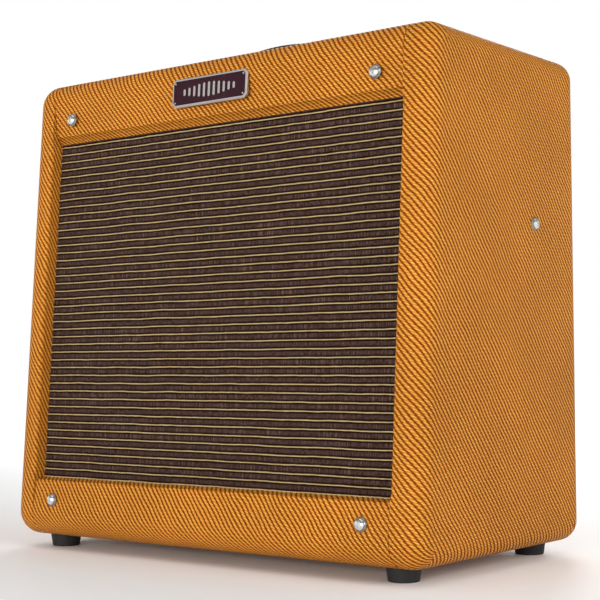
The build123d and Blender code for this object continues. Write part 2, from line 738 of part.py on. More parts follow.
def basket():
    """A pressed frame: flange, sloping wall with windows between the spokes, and a flat seat."""
    front = -GASKET_T
    wall = 1.4
    seat_r = 52.0
    seat_z = -52.0
    mouth_z = front - 10.0
    shell = turned(
        (BASKET_R, front),
        (BASKET_R, front - FLANGE_T),
        (CUTOUT_R + wall, front - FLANGE_T),
        (CUTOUT_R - 3 + wall, mouth_z),
        (seat_r + wall, seat_z - wall),
        (14.0, seat_z - wall),
        (14.0, seat_z),
        (seat_r, seat_z),
        (CUTOUT_R - 3, mouth_z),
        (CUTOUT_R, front),
    )
    for i in range(SPOKES):
        window = extrude(Pos(0, 0, seat_z - 10) * window_outline(), 60)
        shell -= Rot(0, 0, 360 / SPOKES * i) * window
    for place in range(SPEAKER_BOLTS):
        spot = Rot(0, 0, 360 / SPEAKER_BOLTS * (place + 0.5)) * Pos(SPEAKER_BOLT_R, 0, 0)
        shell -= spot * rod(2.6, -10, 2)
    return shell


def window_outline():
    """One window between two spokes, as a ring sector seen along the speaker's axis."""
    inner = 62.0
    outer = 107.0
    half = radians(360 / SPOKES / 2 - 8)
    sector = make_face(
        [
            ThreePointArc(
                (outer * cos(half), -outer * sin(half)), (outer, 0), (outer * cos(half), outer * sin(half))
            ),
            Line((outer * cos(half), outer * sin(half)), (inner * cos(half), inner * sin(half))),
            ThreePointArc(
                (inner * cos(half), inner * sin(half)), (inner, 0), (inner * cos(half), -inner * sin(half))
            ),
            Line((inner * cos(half), -inner * sin(half)), (outer * cos(half), -outer * sin(half))),
        ]
    )
    return fillet(sector.vertices(), 4)


def make_speaker():
    save("speaker_basket", SPEAKER * basket())
    gasket = tube(BASKET_R, CUTOUT_R + 0.5, -GASKET_T, 0)
    for i in range(SPEAKER_BOLTS):
        spot = Rot(0, 0, 360 / SPEAKER_BOLTS * (i + 0.5)) * Pos(SPEAKER_BOLT_R, 0, 0)
        gasket -= spot * rod(2.6, -10, 2)
    save("speaker_gasket", SPEAKER * gasket)

    seat = -53.4
    plate = tube(48, 13.7, seat - 5, seat)
    yoke = rod(46, seat - 23, seat - 18) + rod(12.3, seat - 19, seat - 0.5) - rod(4, seat - 30, seat + 5)
    save("speaker_motor_plates", SPEAKER * plate, SPEAKER * yoke)
    magnet = tube(50, 23, seat - 18, seat - 5)
    magnet = fillet(magnet.edges().filter_by(GeomType.CIRCLE).group_by(SortBy.RADIUS)[-1], 1.5)
    save("speaker_magnet", SPEAKER * magnet)

    coil = tube(13.2, 12.7, seat - 9, -38.6)
    save("voice_coil", SPEAKER * coil)
    save("speaker_cone", SPEAKER * cone())
    save("dust_cap", SPEAKER * dust_cap())

    surround = []
    steps = 24
    for i in range(steps + 1):
        share = i / steps
        radius = 102.4 + share * 11.0
        surround.append((radius, -9.0 + 1.5 * sin(share * 2 * pi)))
    under = [(r, z - 0.5) for r, z in reversed(surround)]
    save("speaker_surround", SPEAKER * turned(*surround, *under))
    spider = []
    for i in range(steps + 1):
        share = i / steps
        radius = 13.6 + share * 31.4
        spider.append((radius, -47.0 + 1.2 * sin(share * 6 * pi)))
    under = [(r, z - 0.5) for r, z in reversed(spider)]
    ring = tube(50, 45.0, -52.0, -46.6)
    save("speaker_spider", SPEAKER * (turned(*spider, *under) + ring))

    screws = []
    for place in speaker_bolt_places():
        head = Pos(0, 0, -GASKET_T - FLANGE_T) * (rod(4.2, -2.8, 0) - Pos(0, 0, -2.8) * Box(5, 1, 2))
        screws.append(place * (head + rod(2.0, -GASKET_T - FLANGE_T - 0.5, 11)))
    save("speaker_screws", *screws)


def cone():
    """A paper cone with a gently curved side; its neck sits on the voice coil."""
    upper = Spline((13.3, -38.0), (50.0, -24.6), (102.0, -9.3))
    lower = Spline((13.3, -39.0), (50.0, -25.6), (102.0, -10.3))
    outline = make_face([upper, Line(upper @ 1, lower @ 1), lower, Line(lower @ 0, upper @ 0)])
    return revolve(Plane.XZ * outline, Axis.Z)


def dust_cap():
    """A shallow dome over the voice coil, glued to the cone around its rim."""
    rim = 24.0
    crown = -25.8
    fall = 7.0
    steps = 10
    radii = [rim * i / steps for i in range(steps + 1)]
    outer = [(r, crown - fall * (r / rim) ** 2) for r in radii]
    inner = [(r, z - 0.7) for r, z in reversed(outer)]
    return turned(*outer, *inner)


# Speaker lead


def terminal_place():
    return SPEAKER * Rot(0, 0, TERMINAL_ANGLE) * Pos(TERMINAL_R, 0, -38)


def make_lead():
    """Terminal strip on a basket spoke, the lead, and the plug in the speaker jack."""
    strip = block((-4, 4), (-13, 13), (-3.2, 0))
    for y in (-8, 8):
        strip += Pos(0, y, -6) * Box(4.8, 0.8, 8)
    save("speaker_terminals", terminal_place() * strip)

    jack = Pos(SPEAKER_JACK_X, VALVE_Y, CHASSIS_LOW_Z) * Rot(180, 0, 0)
    plug = rod(3.12, -SHEET - 18, 8) + rod(6.2, 7.2, 26)
    plug += turned((0, 25), (6.2, 25), (5.4, 34), (3.0, 36), (0, 36))
    save("speaker_plug", jack * plug)

    start = Vector(SPEAKER_JACK_X, VALVE_Y, CHASSIS_LOW_Z - 36)
    end = (terminal_place() * Pos(0, 0, -10.6)).position
    points = [
        start,
        Vector(SPEAKER_JACK_X, VALVE_Y, CHASSIS_LOW_Z - 58),
        Vector(SPEAKER_JACK_X + 10, VALVE_Y - 10, CHASSIS_LOW_Z - 78),
        Vector(SPEAKER_JACK_X + 34, VALVE_Y - 28, CHASSIS_LOW_Z - 84),
        Vector(62, 24, CHASSIS_LOW_Z - 66),
        Vector(80, 6, CHASSIS_LOW_Z - 36),
        end + Vector(2, 22, 0),
        end,
    ]
    radii = []
    for before, at, after in zip(points, points[1:], points[2:]):
        run_in = at - before
        run_out = after - at
        turn = radians(run_in.get_angle(run_out))
        radii.append(0.45 * min(run_in.length, run_out.length) / tan(turn / 2))
    print("speaker lead radii", [round(r, 1) for r in radii])
    path = FilletPolyline(*points, radius=radii)
    profile = Plane(origin=path @ 0, z_dir=path % 0) * Circle(LEAD_R)
    lead = sweep(profile, path=path)
    print("speaker lead length", round(path.length, 1), "volume share", lead.volume / (profile.area * path.length))
    save("speaker_lead", lead)


make_cabinet()
make_baffle()
make_feet()
make_screws()
make_nameplate()
make_handle()
make_chassis()
make_jacks()
make_pots()
make_switch_lamp_fuse()
make_inlet()
make_valves()
make_transformers()
make_board()
make_speaker()
make_lead()
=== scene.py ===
"""Looks for a small tweed valve combo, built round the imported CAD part.

Blender units are metres, in the CAD frame: +Z up, -Y the front, the origin on the floor under the middle
of the cabinet. The object's sizes are millimetres, turned into metres with MM.
"""

import math

import bmesh
import bpy
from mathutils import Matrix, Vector, noise


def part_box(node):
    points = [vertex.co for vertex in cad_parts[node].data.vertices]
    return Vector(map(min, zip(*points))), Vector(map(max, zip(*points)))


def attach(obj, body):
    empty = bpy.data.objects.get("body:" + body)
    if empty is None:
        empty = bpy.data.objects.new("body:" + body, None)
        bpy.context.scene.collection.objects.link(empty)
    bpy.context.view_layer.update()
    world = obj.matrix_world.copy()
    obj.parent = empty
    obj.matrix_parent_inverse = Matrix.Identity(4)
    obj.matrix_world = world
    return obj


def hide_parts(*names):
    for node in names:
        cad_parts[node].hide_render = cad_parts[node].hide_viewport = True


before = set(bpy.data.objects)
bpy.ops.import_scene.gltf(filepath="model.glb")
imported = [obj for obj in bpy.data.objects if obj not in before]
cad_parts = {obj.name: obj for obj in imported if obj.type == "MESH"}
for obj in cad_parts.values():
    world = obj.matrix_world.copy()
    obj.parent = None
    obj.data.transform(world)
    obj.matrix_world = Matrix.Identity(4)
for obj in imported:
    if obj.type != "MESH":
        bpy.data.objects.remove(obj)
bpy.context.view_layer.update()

MM = 0.001
TAU = 2 * math.pi

# Cabinet, from its side board; the lean, edge roundings, boards and grille opening repeat the CAD's
side_low, side_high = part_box("side_board_right")
INSIDE_X = side_low.x / MM
OUTSIDE_X = side_high.x / MM
BACK_Y = side_high.y / MM
FRONT_Y = -BACK_Y
BASE_Z = side_low.z / MM
TOP_Z = side_high.z / MM
PANEL_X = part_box("upper_front_rail")[1].x / MM
LEAN = math.atan(26.0 / 375.0)
EDGE_R = 16.0
FRONT_EDGE_R = 19.5  # along the front's top and bottom
RAIL_T = 11.4
PLANK_T = 19.0
BAFFLE_BACK = 27.2
BAFFLE_FOOT = 3.3
BAFFLE_TOP = 367.2
GRILLE_LOW = 48.0
GRILLE_HIGH = 324.0
TOP_BOARD_BACK = 33.8
BACK_PANEL_T = 9.5
LIP_R = 3.2  # the covering's rounding round the grille opening
UPPER_LIP_R = 5.8  # and along the top of that opening
SEAM_R = 0.8  # the covering's rounding where two boards meet
TURN_IN = 16.0  # how far the covering is folded over onto the inner faces
FIRST_THREAD = GRILLE_LOW + 0.3
THREAD_PITCH = 6.35
PANEL_Z = TOP_Z - 4.0  # the control panel's face
CONTROL_Y = 72.0
VALVE_Y = 72.0
CHASSIS_LOW_Z = BASE_Z + 230.0
dust_low, dust_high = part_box("dust_cap")
CONE_CENTRE = (dust_low + dust_high) / 2  # in metres, for the cone's ribs


# Mesh helpers


def front_point(height, depth, x=0.0):
    """A point at a height up the leaning front and a depth behind it, in millimetres."""
    along = height / math.cos(LEAN)
    y = FRONT_Y + along * math.sin(LEAN) + depth * math.cos(LEAN)
    z = BASE_Z + along * math.cos(LEAN) - depth * math.sin(LEAN)
    return Vector((x, y, z))


def add_object(name, data):
    made = bpy.data.objects.new(name, data)
    bpy.context.scene.collection.objects.link(made)
    return made


def new_piece(name, points, faces, body, materials, uvs=None, face_slots=None, replaces=(), *, slot):
    """A mesh object in metres from points in millimetres; uvs give a pair for each corner of each face."""
    mesh = bpy.data.meshes.new(name)
    mesh.from_pydata([Vector(p) * MM for p in points], [], faces)
    if uvs:
        layer = mesh.uv_layers.new(name="weave")
        flat = [pair for face in uvs for pair in face]
        for loop, pair in zip(layer.data, flat):
            loop.uv = pair
    for material in materials:
        mesh.materials.append(material)
    if face_slots:
        mesh.polygons.foreach_set("material_index", face_slots)
    tidy = bmesh.new()
    tidy.from_mesh(mesh)
    bmesh.ops.recalc_face_normals(tidy, faces=tidy.faces)
    tidy.to_mesh(mesh)
    tidy.free()
    mesh.shade_smooth()
    mesh.set_sharp_from_angle(angle=math.radians(40))
    piece = add_object(name, mesh)
    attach(piece, body)
    if replaces:
        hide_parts(*replaces)
    return piece


def arc(centre, radius, start, end, steps):
    """Points on an arc in a plane; angles in radians, both ends included."""
    made = []
    for i in range(steps + 1):
        angle = start + (end - start) * i / steps
        made.append((centre[0] + radius * math.cos(angle), centre[1] + radius * math.sin(angle)))
    return made


def rounded_corner(before, at, after, radius, steps):
    """Points that replace a corner of an outline with an arc."""
    at = Vector(at)
    to_before = (Vector(before) - at).normalized()
    to_after = (Vector(after) - at).normalized()
    half = to_before.angle(to_after) / 2
    reach = radius / math.tan(half)
    centre = at + (to_before + to_after).normalized() * radius / math.sin(half)
    start = at + to_before * reach - centre
    end = at + to_after * reach - centre
    made = []
    for i in range(steps + 1):
        step = start.slerp(end, i / steps)
        made.append(tuple(centre + step))
    return made


def corner_uvs(faces, uvs):
    """Each face's corners' pairs, from one pair for each point."""
    return [[uvs[corner] for corner in face] for face in faces]


def grid_faces(rows, columns, close_rows=False, close_columns=False):
    """Quads over a grid of points numbered row by row."""
    faces = []
    for i in range(rows if close_rows else rows - 1):
        for j in range(columns if close_columns else columns - 1):
            below = (i + 1) % rows
            right = (j + 1) % columns
            faces.append((i * columns + j, i * columns + right, below * columns + right, below * columns + j))
    return faces


def numbered_on(faces, first):
    """The same faces over points whose numbers start at first."""
    return [tuple(first + corner for corner in face) for face in faces]


def covered_board(name, outline, covered, signs, replaces):
    """A board between the sides from its outline of (y, z) points, with slightly rounded ends.

    The first `covered` spans of the outline are tweed, the rest bare wood. The weave follows the outline,
    and its two signs keep it the right way round seen from outside.
    """
    count = len(outline)
    inward = []
    for i in range(count):
        before = Vector(outline[i]) - Vector(outline[i - 1])
        after = Vector(outline[(i + 1) % count]) - Vector(outline[i])
        turned = before.normalized() + after.normalized()
        inward.append(Vector((-turned.y, turned.x)).normalized())
    area = sum(a[0] * b[1] - b[0] * a[1] for a, b in zip(outline, outline[1:] + outline[:1]))
    if area < 0:
        inward = [-n for n in inward]
    lengths = [0.0]
    for a, b in zip(outline, outline[1:]):
        lengths.append(lengths[-1] + (Vector(b) - Vector(a)).length)
    stations = []
    for i in range(4):
        angle = math.radians(30 * i)
        stations.append((PANEL_X - SEAM_R * (1 - math.cos(angle)), SEAM_R * (1 - math.sin(angle)), angle))
    rings = [(-x, inset, angle) for x, inset, angle in stations]
    spans = 24
    for i in range(1, spans):
        rings.append(((PANEL_X - SEAM_R) * (2 * i / spans - 1), 0.0, TAU / 4))
    rings += reversed(stations)
    points = []
    uvs = []
    for x, inset, angle in rings:
        over = math.copysign(SEAM_R * (TAU / 4 - angle), x)
        for (y, z), normal, length in zip(outline, inward, lengths):
            points.append((x, y + normal.x * inset, z + normal.y * inset))
            uvs.append((signs[0] * (x + over), signs[1] * length))
    faces = grid_faces(len(rings), count, close_columns=True)
    slots = [0 if i % count < covered else 1 for i in range(len(faces))]
    faces += [tuple(range(count)), tuple(range(len(points) - count, len(points)))]
    slots += [1, 1]
    new_piece(name, points, faces, "cabinet", [TWEED, PINE_LONG], corner_uvs(faces, uvs), slots, replaces,
              slot="tweed_board")


# Shader helpers


class Shader:
    """One node material, with short names for the nodes that its pattern needs."""

    def __init__(self, name, **sockets):
        self.material = bpy.data.materials.new(name)
        self.material.use_nodes = True
        self.tree = self.material.node_tree
        self.surface = self.tree.nodes["Principled BSDF"]
        for key, value in sockets.items():
            self.surface.inputs[key.replace("_", " ")].default_value = value

    def put(self, socket, value):
        """Links an output to a socket, or sets the socket to a number, colour or vector."""
        if isinstance(value, bpy.types.NodeSocket):
            self.tree.links.new(value, socket)
        else:
            socket.default_value = value

    def node(self, kind, inputs=(), **settings):
        made = self.tree.nodes.new("ShaderNode" + kind)
        for key, value in settings.items():
            setattr(made, key, value)
        for key, value in dict(inputs).items():
            self.put(made.inputs[key], value)
        return made

    def math(self, operation, a, b=0.0, c=0.0):
        return self.node("Math", {0: a, 1: b, 2: c}, operation=operation).outputs[0]

    def scaled(self, value, factor, plus):
        return self.math("MULTIPLY_ADD", value, factor, plus)

    def dot(self, vector, x, y, z=0.0):
        return self.node("VectorMath", {0: vector, 1: (x, y, z)}, operation="DOT_PRODUCT").outputs["Value"]

    def wave(self, value):
        """A value's cosine, from 0 to 1, once for each whole number."""
        cosine = self.math("COSINE", self.math("MULTIPLY", value, TAU))
        return self.scaled(cosine, 0.5, 0.5)

    def ramp(self, value, low, high, to_low=0.0, to_high=1.0):
        inputs = {"Value": value, "From Min": low, "From Max": high, "To Min": to_low, "To Max": to_high}
        return self.node("MapRange", inputs, interpolation_type="SMOOTHSTEP").outputs[0]

    def mix(self, share, a, b, blend="MIX"):
        made = self.node("Mix", {"Factor": share}, data_type="RGBA", blend_type=blend)
        colour_a, colour_b = made.inputs[6], made.inputs[7]
        self.put(colour_a, a)
        self.put(colour_b, b)
        return made.outputs[2]

    def noise(self, vector, scale, detail=3.0, roughness=0.5, distortion=0.0):
        inputs = {"Vector": vector, "Scale": scale, "Detail": detail}
        inputs |= {"Roughness": roughness, "Distortion": distortion}
        return self.node("TexNoise", inputs).outputs["Fac"]

    def cells(self, vector, scale, feature):
        made = self.node("TexVoronoi", {"Vector": vector, "Scale": scale}, feature=feature)
        return made.outputs["Distance"]

    def place(self):
        """Where the point is in the CAD frame at rest, in metres."""
        return self.node("TexCoord").outputs["Object"]

    def weave(self):
        """The point's place on the flat covering, in millimetres."""
        return self.node("UVMap", uv_map="weave").outputs[0]

    def stretched(self, vector, scale):
        return self.node("Mapping", {"Vector": vector, "Scale": scale}).outputs[0]

    def bump(self, height, distance, strength, under=None):
        inputs = {"Height": height, "Distance": distance * MM, "Strength": strength}
        if under:
            inputs["Normal"] = under
        return self.node("Bump", inputs).outputs[0]

    def finish(self, colour=None, roughness=None, normal=None, **others):
        for key, value in {"Base Color": colour, "Roughness": roughness, "Normal": normal, **others}.items():
            if value is not None:
                self.put(self.surface.inputs[key], value)
        return self.material


def paint(red, green, blue):
    """A shader colour from 0 to 255 screen values."""
    made = []
    for value in (red, green, blue):
        share = value / 255
        made.append(share / 12.92 if share <= 0.04045 else ((share + 0.055) / 1.055) ** 2.4)
    return (*made, 1.0)


# Materials

TWILL_ANGLE = math.radians(50)
TWILL_PITCH = 3.4
FLOAT_ANGLE = math.radians(20)
FLOAT_PITCH = 1.6


def tweed_material():
    """Lacquered tweed: pale slubby twill lines over a dark ground, falling from left to right."""
    m = Shader("lacquered_tweed", Specular_IOR_Level=0.06)
    cloth = m.weave()
    slow = m.noise(cloth, 0.035, 2.0)
    quick = m.noise(cloth, 0.32, 2.0)
    lines = m.dot(cloth, math.sin(TWILL_ANGLE) / TWILL_PITCH, math.cos(TWILL_ANGLE) / TWILL_PITCH)
    lines = m.scaled(slow, 1.1, lines)
    lines = m.scaled(quick, 0.22, lines)
    floats = m.dot(cloth, math.sin(FLOAT_ANGLE) / FLOAT_PITCH, math.cos(FLOAT_ANGLE) / FLOAT_PITCH)
    floats = m.scaled(quick, 0.6, floats)
    ridge = m.wave(lines)
    thread = m.wave(floats)
    pale = m.ramp(m.scaled(thread, 0.12, ridge), 0.26, 0.74)
    hand = m.noise(m.stretched(cloth, (0.9, 2.4, 1.0)), 0.55, 2.0)
    light = m.mix(m.ramp(hand, 0.3, 0.7), paint(196, 130, 48), paint(218, 176, 80))
    light = m.mix(m.ramp(thread, 0.0, 0.9), paint(186, 102, 22), light)
    dark = m.mix(m.ramp(hand, 0.3, 0.7), paint(96, 38, 2), paint(142, 72, 8))
    colour = m.mix(pale, dark, light)
    age = m.ramp(m.noise(cloth, 0.012, 3.0), 0.3, 0.75, 0.9, 1.04)
    colour = m.mix(1.0, colour, m.node("CombineColor", {0: age, 1: age, 2: age}).outputs[0], "MULTIPLY")
    height = m.math("MULTIPLY", pale, m.scaled(thread, 0.35, 0.65))
    fine = m.bump(height, 0.28, 0.75)
    soft = m.bump(m.noise(cloth, 0.03, 2.0), 0.9, 0.25, fine)
    roughness = m.ramp(pale, 0.0, 1.0, 0.62, 0.44)
    return m.finish(colour, roughness, soft)


def wood_material(name, pale, dark, axis, scale=1.0):
    """Sawn softwood with grain lines along one axis and a slightly fuzzy surface."""
    m = Shader(name, Specular_IOR_Level=0.25)
    stretch = [34.0 * scale] * 3
    stretch[axis] = 2.2 * scale
    place = m.stretched(m.place(), tuple(stretch))
    rings = m.noise(place, 1.0, 4.0, 0.55, 1.6)
    lines = m.wave(m.math("MULTIPLY", rings, 9.0))
    pores = m.noise(m.stretched(m.place(), tuple(8 * s for s in stretch)), 1.0, 2.0)
    colour = m.mix(m.ramp(lines, 0.1, 0.95), dark, pale)
    colour = m.mix(m.ramp(pores, 0.52, 0.7, 0.0, 0.35), colour, dark)
    height = m.scaled(pores, 0.6, lines)
    return m.finish(colour, m.ramp(pores, 0.3, 0.7, 0.62, 0.8), m.bump(height, 0.12, 0.6))


def grille_material():
    """Woven grille cloth: a plum-brown plain weave with paler warp ends here and there, and painted shade
    along the gold threads.
    """
    m = Shader("grille_weave", Specular_IOR_Level=0.02)
    cloth = m.weave()
    warp = m.dot(cloth, 1 / 1.05, 0.0)
    weft = m.dot(cloth, 0.0, 1 / 0.9)
    drift = m.noise(cloth, 0.5, 1.0)
    warp = m.scaled(drift, 0.35, warp)
    over = m.math("COSINE", m.math("MULTIPLY", warp, TAU / 2))
    under = m.math("COSINE", m.math("MULTIPLY", weft, TAU / 2))
    weave = m.scaled(m.math("MULTIPLY", over, under), 0.5, 0.5)
    ends = m.noise(m.stretched(cloth, (1.1, 0.04, 1.0)), 1.0, 3.0, 0.7)
    specks = m.noise(m.stretched(cloth, (0.7, 0.4, 1.0)), 1.0, 2.0, 0.6)
    slubs = m.noise(m.stretched(cloth, (1.4, 0.4, 1.0)), 1.0, 2.0, 0.6)
    ground = m.mix(weave, paint(32, 18, 14), paint(72, 51, 47))
    ground = m.mix(m.ramp(slubs, 0.5, 0.64, 0.0, 0.5), ground, paint(102, 82, 76))
    ground = m.mix(m.ramp(slubs, 0.5, 0.36, 0.0, 0.6), ground, paint(26, 13, 8))
    ground = m.mix(m.ramp(ends, 0.52, 0.7, 0.0, 0.6), ground, paint(128, 104, 96))
    ground = m.mix(m.ramp(ends, 0.48, 0.3, 0.0, 0.6), ground, paint(36, 20, 14))
    ground = m.mix(m.ramp(specks, 0.55, 0.75, 0.0, 0.4), ground, paint(52, 42, 20))
    # Painted shade: the ground darkens in a band along both sides of every gold thread
    row = m.scaled(m.dot(cloth, 0.0, 1.0), 1 / THREAD_PITCH, -FIRST_THREAD / THREAD_PITCH)
    thread_shade_band = m.ramp(m.wave(row), 0.15, 0.7, 0.0, 0.9)
    ground = m.mix(thread_shade_band, ground, paint(22, 9, 1))
    return m.finish(ground, m.ramp(weave, 0, 1, 0.9, 0.72), m.bump(weave, 0.25, 0.8))


def gold_thread_material():
    m = Shader("gold_thread", Specular_IOR_Level=0.2)
    cloth = m.weave()
    twist = m.wave(m.dot(cloth, 1 / 1.7, 0.9))
    patch = m.noise(m.stretched(cloth, (0.11, 0.4, 1.0)), 1.0, 2.0)
    colour = m.mix(m.ramp(twist, 0.1, 0.8), paint(134, 108, 56), paint(206, 190, 146))
    colour = m.mix(m.ramp(patch, 0.5, 0.72, 0.0, 0.55), colour, paint(176, 140, 62))
    return m.finish(colour, m.ramp(twist, 0, 1, 0.6, 0.38), m.bump(twist, 0.2, 0.7))


def metal_material(name, colour, rough, wear=0.12, brushed=None, metallic=1.0):
    """Plated metal with faint rub marks; brushed is a scale for its lines along each axis."""
    m = Shader(name, Metallic=metallic)
    place = m.place()
    smear = m.noise(place, 60.0, 4.0, 0.6)
    scratch = m.noise(m.stretched(place, brushed or (900, 900, 120)), 1.0, 3.0, 0.6)
    dull = tuple(channel * 0.72 for channel in colour[:3]) + (1.0,)
    tone = m.mix(m.ramp(smear, 0.45, 0.8, 0.0, 0.6), colour, dull)
    marks = m.scaled(smear, 0.5, m.math("MULTIPLY", scratch, 0.5))
    roughness = m.ramp(marks, 0.3, 0.75, rough, rough + wear)
    return m.finish(tone, roughness, m.bump(scratch, 0.02, 0.5))


def plastic_material(name, colour, rough, grain=900.0, depth=0.03):
    """Moulded plastic or rubber with a fine eggshell grain and dusty hollows."""
    m = Shader(name, Specular_IOR_Level=0.3)
    place = m.place()
    grains = m.noise(place, grain, 3.0, 0.6)
    film = m.noise(place, 45.0, 3.0, 0.6)
    dusty = tuple(channel * 0.75 + 0.03 for channel in colour[:3]) + (1.0,)
    tone = m.mix(m.ramp(film, 0.4, 0.75, 0.0, 0.5), colour, dusty)
    return m.finish(tone, m.ramp(film, 0.3, 0.7, rough, rough + 0.14), m.bump(grains, depth, 0.6))


def leather_material():
    m = Shader("strap_leather", Specular_IOR_Level=0.25)
    place = m.place()
    creases = m.cells(place, 1100.0, "DISTANCE_TO_EDGE")
    pits = m.noise(place, 2400.0, 2.0)
    rub = m.noise(place, 70.0, 3.0)
    colour = m.mix(m.ramp(creases, 0.0, 0.12), paint(10, 9, 9), paint(34, 31, 30))
    colour = m.mix(m.ramp(rub, 0.5, 0.8, 0.0, 0.5), colour, paint(58, 50, 44))
    height = m.scaled(pits, 0.25, m.ramp(creases, 0.0, 0.2))
    return m.finish(colour, m.ramp(rub, 0.3, 0.7, 0.38, 0.55), m.bump(height, 0.12, 0.7))


def glass_material(name, tint, rough=0.0):
    """Blown glass, thin enough to bend little of what is behind it, with a breath of dust on it."""
    m = Shader(name, Transmission_Weight=1.0, IOR=1.2, Base_Color=tint)
    film = m.noise(m.place(), 90.0, 3.0)
    return m.finish(None, m.ramp(film, 0.45, 0.8, rough, rough + 0.04), m.bump(film, 0.004, 0.1))


def laminated_material():
    """Stacked steel sheets: fine dark joints across the core, with a thin brown varnish."""
    m = Shader("laminated_core", Metallic=0.7)
    place = m.place()
    sheets = m.wave(m.dot(place, 0.0, 1 / (0.9 * MM), 0.0))
    rust = m.noise(place, 130.0, 4.0, 0.6)
    colour = m.mix(m.ramp(sheets, 0.0, 0.35), paint(28, 26, 25), paint(122, 118, 112))
    colour = m.mix(m.ramp(rust, 0.55, 0.75, 0.0, 0.5), colour, paint(96, 66, 44))
    return m.finish(colour, m.ramp(rust, 0.3, 0.7, 0.35, 0.6), m.bump(sheets, 0.1, 0.7))


def wound_material(name, colour, dark, pitch, axis, metallic=0.0, rough=0.5):
    """Turns of wire, tape or cord that lie side by side along an axis."""
    m = Shader(name, Metallic=metallic)
    place = m.place()
    wander = m.noise(place, 160.0, 2.0)
    turns = m.wave(m.scaled(wander, 0.6, m.dot(place, *(part / (pitch * MM) for part in axis))))
    tone = m.mix(m.ramp(turns, 0.05, 0.6), dark, colour)
    return m.finish(tone, m.ramp(wander, 0.3, 0.7, rough, rough + 0.15), m.bump(turns, 0.15, 0.7))


def pulp_material(name, colour, dark, ribs=0.0, centre=(0, 0, 0)):
    """Pressed paper or felt with short fibres; ribs are rings round the speaker's axis, by their pitch."""
    m = Shader(name, Specular_IOR_Level=0.15, Sheen_Weight=0.2)
    place = m.place()
    fibres = m.noise(m.stretched(place, (700, 700, 2600)), 1.0, 3.0, 0.7)
    blotch = m.noise(place, 55.0, 3.0)
    tone = m.mix(m.ramp(fibres, 0.35, 0.7), dark, colour)
    tone = m.mix(m.ramp(blotch, 0.45, 0.75, 0.0, 0.4), tone, dark)
    height = fibres
    if ribs:
        off = m.node("VectorMath", {0: place, 1: tuple(centre)}, operation="SUBTRACT").outputs[0]
        flat = m.node("VectorMath", {0: off, 1: (1.0, 0.0, 1.0)}, operation="MULTIPLY").outputs[0]
        reach = m.node("VectorMath", {0: flat}, operation="LENGTH").outputs["Value"]
        rings = m.wave(m.math("DIVIDE", reach, ribs * MM))
        height = m.scaled(rings, 2.5, fibres)
    return m.finish(tone, m.ramp(blotch, 0.3, 0.7, 0.75, 0.9), m.bump(height, 0.25, 0.7))


def enamel_material(name, colour, rough, dimples=220.0, depth=0.12, shine=0.3):
    """Sprayed enamel: orange peel or a hammered dimple, with a few dull rubs."""
    m = Shader(name, Specular_IOR_Level=shine)
    place = m.place()
    peel = m.cells(place, dimples, "SMOOTH_F1")
    rub = m.noise(place, 40.0, 4.0, 0.6)
    pale = tuple(min(1.0, channel * 1.5 + 0.01) for channel in colour[:3]) + (1.0,)
    tone = m.mix(m.ramp(rub, 0.5, 0.78, 0.0, 0.5), colour, pale)
    return m.finish(tone, m.ramp(rub, 0.3, 0.7, rough, rough + 0.15), m.bump(peel, depth, 0.5))


def speckled_material(name, colour, fleck, rough=0.55):
    """Fibre board, ferrite or unglazed ceramic, with small flecks of another shade."""
    m = Shader(name, Specular_IOR_Level=0.2)
    place = m.place()
    flecks = m.noise(place, 420.0, 4.0, 0.75)
    clouds = m.noise(place, 60.0, 2.0)
    tone = m.mix(m.ramp(flecks, 0.52, 0.68), colour, fleck)
    return m.finish(tone, m.ramp(clouds, 0.3, 0.7, rough, rough + 0.15), m.bump(flecks, 0.06, 0.6))


def jewel_material():
    """Red pressed glass, darker in its depths."""
    m = Shader("jewel_red", Transmission_Weight=0.55, IOR=1.5, Coat_Weight=0.5)
    swirl = m.noise(m.place(), 260.0, 3.0)
    tone = m.mix(m.ramp(swirl, 0.3, 0.7), paint(150, 6, 10), paint(232, 24, 24))
    return m.finish(tone, m.ramp(swirl, 0.3, 0.7, 0.04, 0.12), m.bump(swirl, 0.05, 0.4))


def spider_material():
    """Corrugated, resin-stiffened cloth with an open plain weave."""
    m = Shader("spider_cloth", Specular_IOR_Level=0.2, Sheen_Weight=0.2)
    place = m.place()
    across = m.math("SINE", m.dot(place, TAU / (1.1 * MM), 0.0, 0.0))
    along = m.math("SINE", m.dot(place, 0.0, 0.0, TAU / (1.1 * MM)))
    weave = m.scaled(m.math("MULTIPLY", across, along), 0.5, 0.5)
    tone = m.mix(weave, paint(120, 84, 40), paint(204, 160, 96))
    return m.finish(tone, m.ramp(weave, 0.0, 1.0, 0.85, 0.7), m.bump(weave, 0.2, 0.8))


TWEED = tweed_material()
PINE_LONG = wood_material("pine_along_x", paint(222, 186, 132), paint(188, 140, 84), 0)
PINE_TALL = wood_material("pine_along_z", paint(222, 186, 132), paint(188, 140, 84), 2)
CHROME = metal_material("chrome_plate", paint(222, 222, 220), 0.07)
NICKEL = metal_material("nickel_plate", paint(164, 160, 152), 0.2)
ZINC = metal_material("zinc_steel", paint(150, 150, 146), 0.34)
STEEL = metal_material("turned_steel", paint(120, 118, 114), 0.28, 0.2)
DARK_METAL = metal_material("blackened_steel", paint(46, 45, 44), 0.42, 0.2)
LEATHER = leather_material()
BLACK_PLASTIC = plastic_material("black_phenolic", paint(20, 19, 19), 0.32)
GLASS = glass_material("clear_glass", (0.96, 0.98, 0.97, 1.0))
CREAM = plastic_material("cream_paint", paint(226, 214, 182), 0.45, 700.0)
INK = plastic_material("printed_ink", paint(26, 24, 24), 0.5, 1200.0)
WAXED_THREAD = wound_material("waxed_thread", paint(188, 164, 122), paint(104, 84, 54), 0.7, (1.0, 0.4, 0.6))

